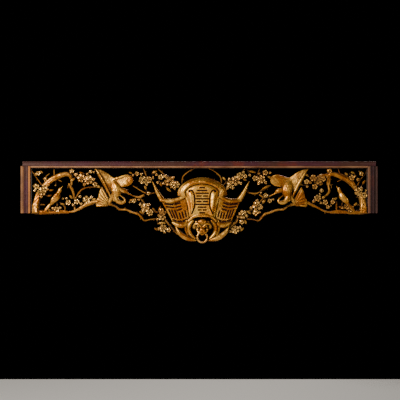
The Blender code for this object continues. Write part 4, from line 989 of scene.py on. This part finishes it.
def banner_point(side, across, down):
    """(u, v) on a side banner, across from its inner to its outer edge and down from its top hem."""
    top = BANNER_INNER_TOP + (BANNER_OUTER_TOP[side] - BANNER_INNER_TOP) * across
    bottom = BANNER_INNER_BOTTOM + (BANNER_OUTER_BOTTOM[side] - BANNER_INNER_BOTTOM) * across
    sag = BANNER_SAG * np.sin(np.pi * across)
    upper = BANNER_TOP - BANNER_INNER_RISE * (1 - across) + sag
    lower = BANNER_BOTTOM + sag
    return top + (bottom - top) * down, upper + (lower - upper) * down


def banner_strokes(side):
    """Rows of upright and level bars. They spell nothing."""
    level = [((0.24, y), (0.46, y)) for y in (0.15, 0.27, 0.39)]
    level += [((0.55, y), (0.90, y)) for y in (0.15, 0.27)]
    upright = [((x, 0.51), (x, 0.72)) for x in (0.12, 0.26, 0.40)]
    upright += [((x, 0.39), (x, 0.72)) for x in (0.56, 0.70, 0.84)]
    low = [((x, 0.84), (x + 0.17, 0.84)) for x in (0.16, 0.44, 0.72)]
    return [(banner_point(side, *start), banner_point(side, *end)) for start, end in level + upright + low]


def banner(side):
    """A side banner with rolled hems above and below and a curled horn at its outer top corner."""
    block = Block()
    lines = columns = 102
    down = np.linspace(0, 1, lines)[:, None] + np.zeros((1, columns))
    across = np.linspace(0, 1, columns)[None, :] + np.zeros((lines, 1))
    u, v = banner_point(side, across, down)
    d = BANNER_FRONT + BANNER_BELLY * np.sin(np.pi * down) - BANNER_SLOPE * across
    d = d + 0.12 * np.sin(9 * across + 2 * down)
    groove, inked = stroke_mask(u, v, banner_strokes(side))
    d = d - STROKE_DEPTH * groove
    block.plate(np.stack([CARTOUCHE_AXIS + side * u, v, d], axis=-1), BANNER_BACK, inked)
    for down, radii in BANNER_HEMS:
        hem = []
        for across, radius in zip(np.linspace(0, 1, len(radii)).tolist(), radii):
            u, v = banner_point(side, across, down)
            d = BANNER_FRONT + 0.5 - BANNER_SLOPE * across - 0.4 * (1 - across) ** 4
            hem.append((CARTOUCHE_AXIS + side * u, v, radius, d))
        bar(block, hem, sides=28, steps=10, carve=cloth(5, 0.05, down + side))
    u, v = banner_point(side, 1.0, 0.0)
    horn = [(u - 4.0, v + 1.0, 0.8), (u - 0.6, v - 1.2, 1.0)]
    horn += [(u + lean * HORN_LEAN, v - rise * HORN_LENGTH, share) for lean, rise, share in HORN_BEND]
    horn = [(CARTOUCHE_AXIS + side * h, w, HORN_RADIUS * share) for h, w, share in horn]
    bar(block, horn, depth=6.2, sides=32, steps=14, carve=cloth(6, 0.07, side))
    return block


def drapery():
    """The cloth around the face: shoulders, hood, folds, hems, ties and the bowl below."""
    block = Block()
    u, v, down, share = spread_grid(SHOULDER_SPREAD, lines=90, columns=80)
    d = SHOULDER_FRONT + 1.2 * (1 - share**2) + 0.12 * np.sin(26 * share + 3 * down)
    d = d - 3.4 * np.clip((v - 46) / 3, 0, 1)
    block.plate(np.stack([CARTOUCHE_AXIS + u, v, d], axis=-1), PLATE_BACK, np.zeros(u.shape))
    hood(block)
    for side in (-1, 1):
        for k, path in enumerate((FACE_HEM, BOWL, JOWL_FOLD, TIE_FOLD)):
            bar(block, about(path, CARTOUCHE_AXIS, side), sides=30, steps=12, carve=cloth(4, 0.06, k))
    return block


def hood(block):
    """The hood, one draped band from jaw to jaw over the face, with folds along it."""
    outer, inner = (np.array(smooth([(*point, 0.0, 0.0) for point in both_halves(line)], 14))[:, :2]
                    for line in (HOOD_OUTER, HOOD_INNER))
    share = np.linspace(0, 1, HOOD_COLUMNS)[None, :]
    spot = outer[:, None] * (1 - share[..., None]) + inner[:, None] * share[..., None]
    length = np.linspace(-1, 1, len(outer))[:, None]
    crown = np.sqrt(np.clip(1 - (2 * share - 1) ** 2, 0, 1))
    folds = HOOD_FOLD * np.cos(2 * np.pi * (2.6 * share + 0.25 * np.cos(5 * length))) * (0.25 + length**2)
    rim = np.clip((share - 0.88) / 0.12, 0, 1) ** 2
    low = np.clip((spot[..., 1] - 25) / 8, 0, 1)
    low = low**2 * (3 - 2 * low)
    d = HOOD_FRONT + HOOD_SLOPE * share + HOOD_ROLL * np.sin(np.pi * share) + folds * crown**0.7
    d = d - 0.5 * rim - HOOD_DROP * low
    block.plate(np.concatenate([spot + (CARTOUCHE_AXIS, 0), d[..., None]], axis=-1), HOOD_BACK, 0 * d)


def beast_mask():
    """The mask with brows, eyes and a broad nose, which holds the ring in its mouth."""
    block = Block()
    for v, d, radii, rings, sectors in MASK_MIDDLE:
        ball(block, (CARTOUCHE_AXIS, v, d), radii, rings, sectors)
    for side in (-1, 1):
        for u, v, d, radii in MASK_ROUNDS:
            ball(block, (CARTOUCHE_AXIS + side * u, v, d), radii, 14, 20)
        u, v, d, radii = MASK_EYE
        ball(block, (CARTOUCHE_AXIS + side * u, v, d), radii, 12, 16)
        for line in (MASK_BROW, MASK_LIP):
            path = [(CARTOUCHE_AXIS + side * u, v, radius, d) for u, v, radius, d in line]
            bar(block, path, sides=14, steps=8)
    return block


def ring():
    """The round ring in the mask's mouth."""
    block = Block()
    v, d = RING_PLACE
    turns, sides = 96, 20
    index = np.arange(turns * sides).reshape(turns, sides)
    turn = 2 * np.pi * np.arange(turns)[:, None] / turns
    roll = 2 * np.pi * np.arange(sides)[None, :] / sides
    thick = RING_THICKNESS * (1 + 0.04 * np.sin(5 * turn))
    reach = RING_RADIUS + thick * np.cos(roll)
    u = CARTOUCHE_AXIS + reach * np.cos(turn)
    points = np.stack([u, v - reach * np.sin(turn), d + thick * np.sin(roll)], axis=-1)
    around, over = np.roll(index, -1, axis=0), np.roll(index, -1, axis=1)
    both = np.roll(around, -1, axis=1)
    block.add(points, np.stack([index, over, both, around], axis=-1).reshape(-1, 4).tolist())
    return block


def inner_border():
    """The plain border of the board that the gilt lip hides."""
    block = Block()
    low_x, high_x = BOARD_LOW.x / COLUMN, BOARD_HIGH.x / COLUMN
    top = (RAIL_LOW.z - BOARD_HIGH.z) / ROW
    half = GRID_COLUMNS / 2 - BORDER_EDGE
    strips = ((low_x, high_x, top, BORDER_EDGE), (low_x, -half, BORDER_EDGE, GRID_ROWS),
              (half, high_x, BORDER_EDGE, GRID_ROWS))
    for left, right, upper, lower in strips:
        block.shell([[(left, v, 0.0), (right, v, 0.0), (right, v, BORDER_DEPTH), (left, v, BORDER_DEPTH)]
                     for v in np.linspace(upper, lower, 24)])
    return block


def wobble(points, size, seed):
    """Small dents and hand-worked unevenness, the same each time."""
    x, y, z = points.T
    shift = (np.sin(37 * x + seed) * np.sin(91 * z + 2 * seed) + 0.6 * np.sin(113 * x + 61 * z + seed)
             + 0.4 * np.sin(290 * x + 170 * y + 3 * seed))
    return shift * size


def moulding(name, outline, start, stop, place, material, stands_for, seed, stations):
    """A straight moulding through outline points, whose surface wanders as handwork does."""
    outline = np.asarray(outline, float)
    middle = outline.mean(axis=0)
    rings = []
    for run in np.linspace(start, stop, stations):
        points = np.array([place(a, b, run) for a, b in outline])
        inward = np.array([place(*middle, run)]) - points
        inward /= np.linalg.norm(inward, axis=1)[:, None] + TINY
        front = (points[:, 1] < -BACK_MARGIN)[:, None]
        rings.append(points + inward * front * (HAND_SINK + wobble(points, HAND_WOBBLE, seed))[:, None])
    index, _, faces = tube_faces(len(rings), len(outline))
    faces += [index[0].tolist()[::-1], index[-1].tolist()]
    return make_piece(name, np.concatenate(rings), faces, material, stands_for, crease=32)


def arc(centre, radius, start, stop, steps=10):
    """Points of a round stretch, with its angles in degrees."""
    angles = np.radians(np.linspace(start, stop, steps + 1))
    return [(centre[0] + radius * math.cos(a), centre[1] + radius * math.sin(a)) for a in angles]


def main():
    """Every piece of the frieze."""
    finish = make_materials()

    def stand(block, name, material="carving", crease=45):
        block.piece(name, finish[material], "gilt_carving", "carved_board", crease)

    for left in (True, False):
        side = "left" if left else "right"
        branches, paths = carved_branches(left)
        paths = paths + [for_half(left, END_AXIS)(path) for path in (TRUNK, ARCH, GROUND)]
        flowers, leaves = carved_flowers(left, paths, branches)
        stand(carved_trunk(left), f"{side}_trunk", "branches", 60)
        stand(branches, f"{side}_branches", "branches", 60)
        stand(flowers, f"{side}_blossoms", "flowers")
        stand(leaves, f"{side}_leaves")
        stand(carved_crane(left), f"{side}_crane")
        stand(carved_magpie(left), f"{side}_magpie")
        stand(banner(-1 if left else 1), f"{side}_banner")
    stand(cartouche_face(), "cartouche_face", "face")
    stand(drapery(), "cartouche_drapery")
    stand(beast_mask(), "beast_mask")
    stand(ring(), "mask_ring", "flowers")
    stand(inner_border(), "board_border", "wood")
    lacquered_frame(finish)


def lacquered_frame(finish):
    """The rail and stiles, with the same sections as the solids."""
    band_low = RAIL_LOW.z + RAIL_LIP
    rail = band_section(RAIL_HIGH.z - band_low)

    def level(a, b, run):
        return (run, -b, band_low + a)

    lip_left, lip_right = LEFT_HIGH.x + JOINT_GAP, RIGHT_LOW.x - JOINT_GAP
    moulding("rail_band", rail, RAIL_LOW.x, RAIL_HIGH.x, level, finish["lacquer"], "top_rail",
             seed=1.0, stations=RAIL_STATIONS)
    moulding("rail_gilt_lip", lip_section(RAIL_LIP), lip_left, lip_right, level, finish["lip"], "top_rail",
             seed=2.0, stations=RAIL_STATIONS)
    top = band_low - JOINT_GAP
    parts = (("band", band_section(STILE_BAND), 3.0), ("gilt_lip", lip_section(STILE_LIP), 5.0),
             ("edge", edge_section(), 7.0))
    for side, node, inner, coats in ((-1, "left_stile", LEFT_HIGH.x - STILE_LIP, LEFT_COATS),
                                     (1, "right_stile", RIGHT_LOW.x + STILE_LIP, RIGHT_COATS)):
        def upright(a, b, run, side=side, inner=inner):
            return (inner + side * a, -b, run)

        for part, outline, seed in parts:
            moulding(f"{node}_{part}", outline, LEFT_LOW.z, top, upright, finish[coats[part]], node,
                     seed + side, STILE_STATIONS)


def band_section(height):
    """A bead on the outer front edge, a flat and a reed on the inner one."""
    front = FRAME_DEPTH - BEAD_RADIUS
    flat = front - 0.001
    level = [(2 * REED_RADIUS + (height - 2 * BEAD_RADIUS - 2 * REED_RADIUS) * k / 6, flat)
             for k in range(7)]
    return [(0.0, 0.0), (0.0, front), *arc((REED_RADIUS, front), REED_RADIUS, 180, 0), *level,
            *arc((height - BEAD_RADIUS, front), BEAD_RADIUS, 180, 0), (height, 0.0)]


def lip_section(width):
    """Half round at its inner edge, with a root inside the band."""
    thick = LIP_THICKNESS / 2
    middle = FRAME_DEPTH - LIP_SETBACK - thick
    return [(REED_RADIUS, middle - thick), (REED_RADIUS, middle + thick),
            *arc((thick - width, middle), thick, 90, 270)]


def edge_section():
    """The stile's outer strip, with a root inside the band."""
    depth = FRAME_DEPTH - STILE_EDGE_SETBACK
    soft = BEAD_RADIUS
    inner = STILE_BAND - REED_RADIUS
    outer = STILE_BAND + STILE_EDGE
    return [(inner, 0.0005), (inner, depth - soft), (STILE_BAND + soft, depth),
            *arc((outer - soft, depth - soft), soft, 90, 0), (outer, 0.0)]


class Tree:
    """A short way to lay shader nodes and join them."""

    def __init__(self, tree):
        self.tree = tree

    def node(self, kind, **values):
        """A node of a kind, with inputs and settings given by name."""
        made = self.tree.nodes.new(kind)
        for name, value in values.items():
            if name in made.inputs.keys():
                self.set(made.inputs[name], value)
            else:
                setattr(made, name, value)
        return made

    def set(self, socket, value):
        """Joins the socket to another one, or gives it a constant value."""
        if isinstance(value, bpy.types.NodeSocket):
            self.tree.links.new(value, socket)
        else:
            socket.default_value = value

    def math(self, operation, first, second, clamp=False):
        """Two numbers joined by an operation."""
        made = self.node("ShaderNodeMath", operation=operation, use_clamp=clamp)
        self.set(made.inputs[0], first)
        self.set(made.inputs[1], second)
        return made.outputs[0]

    def mix(self, share, first, second):
        """Two colours mixed, all of the second one at a share of 1."""
        made = self.node("ShaderNodeMix", data_type="RGBA")
        self.set(made.inputs[0], share)
        self.set(made.inputs[6], first)
        self.set(made.inputs[7], second)
        return made.outputs[2]

    def span(self, value, low, high, to_low=0.0, to_high=1.0):
        """The value's way from low to high, softened at both ends."""
        made = self.node("ShaderNodeMapRange", interpolation_type="SMOOTHSTEP")
        for place, number in enumerate((value, low, high, to_low, to_high)):
            self.set(made.inputs[place], number)
        return made.outputs[0]

    def noise(self, place, scale, detail, roughness=0.55):
        """Soft irregular spots, finer at a higher scale."""
        made = self.node("ShaderNodeTexNoise", Scale=scale, Detail=detail, Roughness=roughness)
        self.set(made.inputs["Vector"], place)
        return made.outputs["Fac"]

    def place(self):
        """Where a point lies on its piece."""
        return self.node("ShaderNodeTexCoord").outputs["Object"]

    def raise_surface(self, shader, height, strength, distance):
        """Unevenness that is too fine for the mesh."""
        bump = self.node("ShaderNodeBump", Strength=strength, Distance=distance)
        self.set(bump.inputs["Height"], height)
        self.set(shader.inputs["Normal"], bump.outputs[0])


def start_group(name, inputs, outputs):
    """A node group with named number inputs and outputs, its tree and its two end nodes."""
    group = bpy.data.node_groups.new(name, "ShaderNodeTree")
    for label, default in inputs:
        socket = group.interface.new_socket(label, in_out="INPUT", socket_type="NodeSocketFloat")
        socket.default_value = default
    for label in outputs:
        group.interface.new_socket(label, in_out="OUTPUT", socket_type="NodeSocketFloat")
    tree = Tree(group)
    given = tree.node("NodeGroupInput").outputs
    result = tree.node("NodeGroupOutput").inputs
    return group, tree, given, result


def shade_and_wear_group():
    """Masks: Hollow Shade is painted shade in recesses, from ambient occlusion; Edge is where handling
    wears; Deep Shade is painted shade far from the front.
    """
    inputs = (("Reach", 0.012), ("Deep Start", -0.050), ("Deep End", -0.024))
    group, tree, given, result = start_group("shade_and_wear_masks", inputs, ("Hollow Shade", "Edge", "Deep Shade"))
    shade = tree.node("ShaderNodeAmbientOcclusion", samples=8)
    tree.set(shade.inputs["Distance"], given["Reach"])
    geometry = tree.node("ShaderNodeNewGeometry")
    split = tree.node("ShaderNodeSeparateXYZ")
    tree.set(split.inputs[0], tree.place())
    # Hollow Shade: painted shade, darker where ambient occlusion finds a recess
    tree.set(result["Hollow Shade"], tree.span(shade.outputs["AO"], 0.97, 0.50))
    tree.set(result["Edge"], tree.span(geometry.outputs["Pointiness"], 0.53, 0.62))
    # Deep Shade: painted shade, darker the further a point lies behind the front
    tree.set(result["Deep Shade"], tree.span(split.outputs[1], given["Deep Start"], given["Deep End"]))
    return group


def rub_group():
    """Unevenness of handwork: Cloud at hand scale, Tool at gouge scale, Fleck at brush scale and Grain
    lengthwise."""
    inputs = (("Cloud Scale", 14.0), ("Fleck Scale", 160.0))
    group, tree, given, result = start_group("hand_finish", inputs, ("Cloud", "Fleck", "Grain", "Tool"))
    place = tree.place()
    tree.set(result["Cloud"], tree.noise(place, given["Cloud Scale"], detail=5.0))
    tree.set(result["Fleck"], tree.noise(place, given["Fleck Scale"], detail=6.0, roughness=0.65))
    tree.set(result["Tool"], tree.noise(place, scale=62.0, detail=1.5, roughness=0.4))
    stretch = tree.node("ShaderNodeMapping")
    tree.set(stretch.inputs["Vector"], place)
    stretch.inputs["Scale"].default_value = (3.0, 60.0, 60.0)
    tree.set(result["Grain"], tree.noise(stretch.outputs[0], scale=5.0, detail=6.0, roughness=0.6))
    return group


def new_material(name):
    """A material, its tree and its main shader."""
    made = bpy.data.materials.new(name)
    made.use_nodes = True
    tree = Tree(made.node_tree)
    shader = made.node_tree.nodes["Principled BSDF"]
    return made, tree, shader


def use_group(tree, group, **values):
    """The outputs of a node group, some of whose numbers are given by name."""
    made = tree.node("ShaderNodeGroup", node_tree=group)
    for name, value in values.items():
        made.inputs[name.replace("_", " ")].default_value = value
    return made.outputs


def make_gilding(name, shade_and_wear, rub, polish, light=GOLD_LIGHT, deep=GOLD_DEEP, shade_reach=1.0):
    """Water gilding over red bole on carved wood, with painted shade in the hollows and towards the back,
    and bare wood behind. shade_reach is how far the painted shade reaches out of the hollows."""
    made, tree, shader = new_material(name)
    fine = use_group(tree, shade_and_wear, Reach=0.007)
    broad = use_group(tree, shade_and_wear, Reach=0.034)
    hand = use_group(tree, rub)
    inked = tree.node("ShaderNodeAttribute", attribute_name="inked").outputs["Fac"]
    facing = tree.node("ShaderNodeSeparateXYZ")
    tree.set(facing.inputs[0], tree.node("ShaderNodeNewGeometry").outputs["Normal"])
    behind = tree.span(facing.outputs[1], 0.15, 0.6)
    gold = tree.mix(tree.span(hand["Cloud"], 0.38, 0.62), light, deep)
    rubbed = tree.math("MULTIPLY", tree.span(hand["Fleck"], 0.56, 0.70),
                       tree.span(hand["Cloud"], 0.42, 0.62))
    edges = tree.math("MULTIPLY", fine["Edge"], tree.span(hand["Fleck"], 0.45, 0.6))
    bole = tree.math("ADD", rubbed, edges, True)
    colour = tree.mix(tree.math("MULTIPLY", bole, 0.7), gold, BOLE_RED)
    # Painted shade: the hollows' ambient occlusion, strengthened by shade_reach, and the darkening towards
    # the back, mixed towards GRIME_AND_SHADE
    hollow_shade = tree.math("MAXIMUM", fine["Hollow Shade"], tree.math("MULTIPLY", broad["Hollow Shade"], 0.92))
    hollow_shade = tree.math("MULTIPLY", hollow_shade, shade_reach, True)
    painted_shade = tree.math("ADD", hollow_shade, tree.math("MULTIPLY", fine["Deep Shade"], 0.74), True)
    painted_shade = tree.math("MULTIPLY", painted_shade, tree.span(hand["Fleck"], 0.2, 0.5, 0.8, 1.0), True)
    colour = tree.mix(painted_shade, colour, GRIME_AND_SHADE)
    colour = tree.mix(inked, colour, STROKE_PAINT)
    colour = tree.mix(behind, colour, tree.mix(hand["Grain"], OLD_WOOD, GRIME_AND_SHADE))
    tree.set(shader.inputs["Base Color"], colour)
    # Where painted shade, bole, ink or bare wood cover the gold, it is less metallic and rougher
    covered_and_shaded = tree.math("MAXIMUM", tree.math("MAXIMUM", painted_shade, bole), tree.math("MAXIMUM", inked, behind))
    tree.set(shader.inputs["Metallic"], tree.span(covered_and_shaded, 0.0, 0.9, 0.93, 0.0))
    rough = tree.math("ADD", tree.math("ADD", covered_and_shaded, hand["Fleck"]), inked)
    tree.set(shader.inputs["Roughness"], tree.span(rough, 0.3, 1.6, 0.38 - polish, 0.90))
    tree.set(shader.inputs["Coat Weight"], tree.span(covered_and_shaded, 0.0, 0.6, polish * 2, 0.0))
    shader.inputs["Coat Roughness"].default_value = 0.22
    shader.inputs["Specular IOR Level"].default_value = 0.15
    height = tree.math("ADD", hand["Tool"], tree.math("MULTIPLY", hand["Fleck"], 0.22))
    tree.raise_surface(shader, height, strength=0.6, distance=0.0035)
    return made


def make_frame_gilding(name, shade_and_wear, rub, light, dark, metallic):
    """Thin gilding on the frame's lip or outer strip, rubbed through in places, with painted shade in its
    hollows.
    """
    made, tree, shader = new_material(name)
    masks = use_group(tree, shade_and_wear, Reach=0.006)
    hand = use_group(tree, rub, Cloud_Scale=9.0)
    gold = tree.mix(tree.span(hand["Cloud"], 0.35, 0.7), light, dark)
    # Rubbed-through wear and the hollows' painted shade both turn the gold towards DARK_STRIP
    worn_and_shaded = tree.math("ADD", tree.span(hand["Fleck"], 0.55, 0.68), masks["Hollow Shade"], True)
    colour = tree.mix(tree.math("MULTIPLY", worn_and_shaded, 0.7), gold, DARK_STRIP)
    tree.set(shader.inputs["Base Color"], colour)
    tree.set(shader.inputs["Metallic"], tree.span(worn_and_shaded, 0.0, 0.9, metallic, 0.0))
    tree.set(shader.inputs["Roughness"], tree.span(hand["Fleck"], 0.3, 0.7, 0.40, 0.65))
    tree.raise_surface(shader, hand["Fleck"], strength=0.25, distance=0.0008)
    return made


def make_lacquer(name, shade_and_wear, rub, shade):
    """Old brown-plum lacquer with red and grey patches, with painted shade in its hollows. shade darkens it
    as a whole: on the right stile, partly darker lacquer and partly painted shade.
    """
    made, tree, shader = new_material(name)
    masks = use_group(tree, shade_and_wear, Reach=0.006)
    hand = use_group(tree, rub, Cloud_Scale=5.5)
    colour = tree.mix(tree.span(hand["Cloud"], 0.42, 0.60), LACQUER_BROWN, LACQUER_PLUM)
    patch = tree.span(tree.noise(tree.place(), scale=6.5, detail=3.0), 0.58, 0.68)
    colour = tree.mix(tree.math("MULTIPLY", patch, 0.65), colour, LACQUER_RED)
    rubbed = tree.math("MULTIPLY", tree.span(hand["Grain"], 0.50, 0.72), 0.4)
    colour = tree.mix(tree.math("ADD", rubbed, masks["Edge"], True), colour, LACQUER_GREY)
    # Painted shade: the hollows' ambient occlusion, and shade, mixed towards GRIME_AND_SHADE
    painted_shade = tree.math("MAXIMUM", tree.math("MULTIPLY", masks["Hollow Shade"], 0.8), shade)
    tree.set(shader.inputs["Base Color"], tree.mix(painted_shade, colour, GRIME_AND_SHADE))
    tree.set(shader.inputs["Roughness"], tree.span(hand["Fleck"], 0.3, 0.7, 0.32, 0.55))
    shader.inputs["Specular IOR Level"].default_value = 0.3
    tree.raise_surface(shader, hand["Grain"], strength=0.25, distance=0.0008)
    return made


def make_wood(rub):
    """Bare old wood."""
    made, tree, shader = new_material("bare_wood")
    hand = use_group(tree, rub)
    tree.set(shader.inputs["Base Color"], tree.mix(tree.span(hand["Grain"], 0.35, 0.7), OLD_WOOD, GRIME_AND_SHADE))
    tree.set(shader.inputs["Roughness"], tree.span(hand["Fleck"], 0.3, 0.7, 0.6, 0.9))
    return made


def make_materials():
    """Every finish of the frieze, by a plain name."""
    shade_and_wear, rub = shade_and_wear_group(), rub_group()
    made = {
        "carving": make_gilding("worn_gilding", shade_and_wear, rub, polish=0.04, shade_reach=1.6),
        # The blossoms' and ring's gilding is a paler copy: painted light standing in for highlights
        "flowers": make_gilding("lit_bright_gilding", shade_and_wear, rub, 0.15, GOLD_PALE, GOLD_WARM, 2.6),
        "branches": make_gilding("branch_gilding", shade_and_wear, rub, 0.04, GOLD_BROWN, GOLD_DEEP, 1.5),
        # The face's gilding is a brighter copy: painted light
        "face": make_gilding("cartouche_lit_gilding", shade_and_wear, rub, 0.0, GOLD_BRIGHT, GOLD_AMBER),
        "lacquer": make_lacquer("frame_lacquer", shade_and_wear, rub, shade=0.0),
        # The right stile's lacquer is darkened as a whole: partly darker lacquer, partly painted shade
        "dark lacquer": make_lacquer("right_stile_shaded_lacquer", shade_and_wear, rub, shade=0.62),
    }
    for key, name, light, dark, metallic in FRAME_COATS:
        made[key] = make_frame_gilding(name, shade_and_wear, rub, light, dark, metallic)
    made["wood"] = make_wood(rub)
    return made


def make_floor():
    """A plain pale floor under the hung frieze."""
    bm = bmesh.new()
    bmesh.ops.create_grid(bm, x_segments=2, y_segments=2, size=1.0)
    mesh = bpy.data.meshes.new("floor")
    bm.to_mesh(mesh)
    bm.free()
    floor = bpy.data.objects.new("floor", mesh)
    floor.scale = FLOOR_SCALE
    floor.location = FLOOR_PLACE
    bpy.context.scene.collection.objects.link(floor)
    made, _, shader = new_material("floor_paint")
    shader.inputs["Base Color"].default_value = FLOOR_COLOUR
    shader.inputs["Roughness"].default_value = 0.7
    mesh.materials.append(made)


def soft_light(name, place, size, power):
    """A rectangular lamp that points at the frieze's middle."""
    data = bpy.data.lights.new(name, "AREA")
    data.shape = "RECTANGLE"
    data.size, data.size_y = size
    data.energy = power
    data.color = LAMP_COLOUR
    lamp = bpy.data.objects.new(name, data)
    lamp.location = place
    lamp.rotation_euler = (Vector(LIT_MIDDLE) - Vector(place)).to_track_quat("-Z", "Y").to_euler()
    bpy.context.scene.collection.objects.link(lamp)


def make_camera_and_light():
    """A square-on camera, four soft lamps and an almost black world."""
    data = bpy.data.cameras.new("camera")
    data.lens = CAMERA_LENS
    data.sensor_width = CAMERA_SENSOR
    camera = bpy.data.objects.new("camera", data)
    distance = VIEW_WIDTH * CAMERA_LENS / CAMERA_SENSOR
    camera.location = (IMAGE_MIDDLE[0], FRONT_PLANE - distance, IMAGE_MIDDLE[1])
    camera.rotation_euler = (math.pi / 2, 0.0, 0.0)
    bpy.context.scene.collection.objects.link(camera)
    bpy.context.scene.camera = camera
    for name, place, size, power in LAMPS:
        soft_light(name, place, size, power)
    world = bpy.data.worlds.new("studio")
    bpy.context.scene.world = world
    world.use_nodes = True
    sky = world.node_tree.nodes["Background"].inputs
    sky["Color"].default_value = SKY_COLOUR
    sky["Strength"].default_value = SKY_STRENGTH


make_camera_and_light()
make_floor()
main()
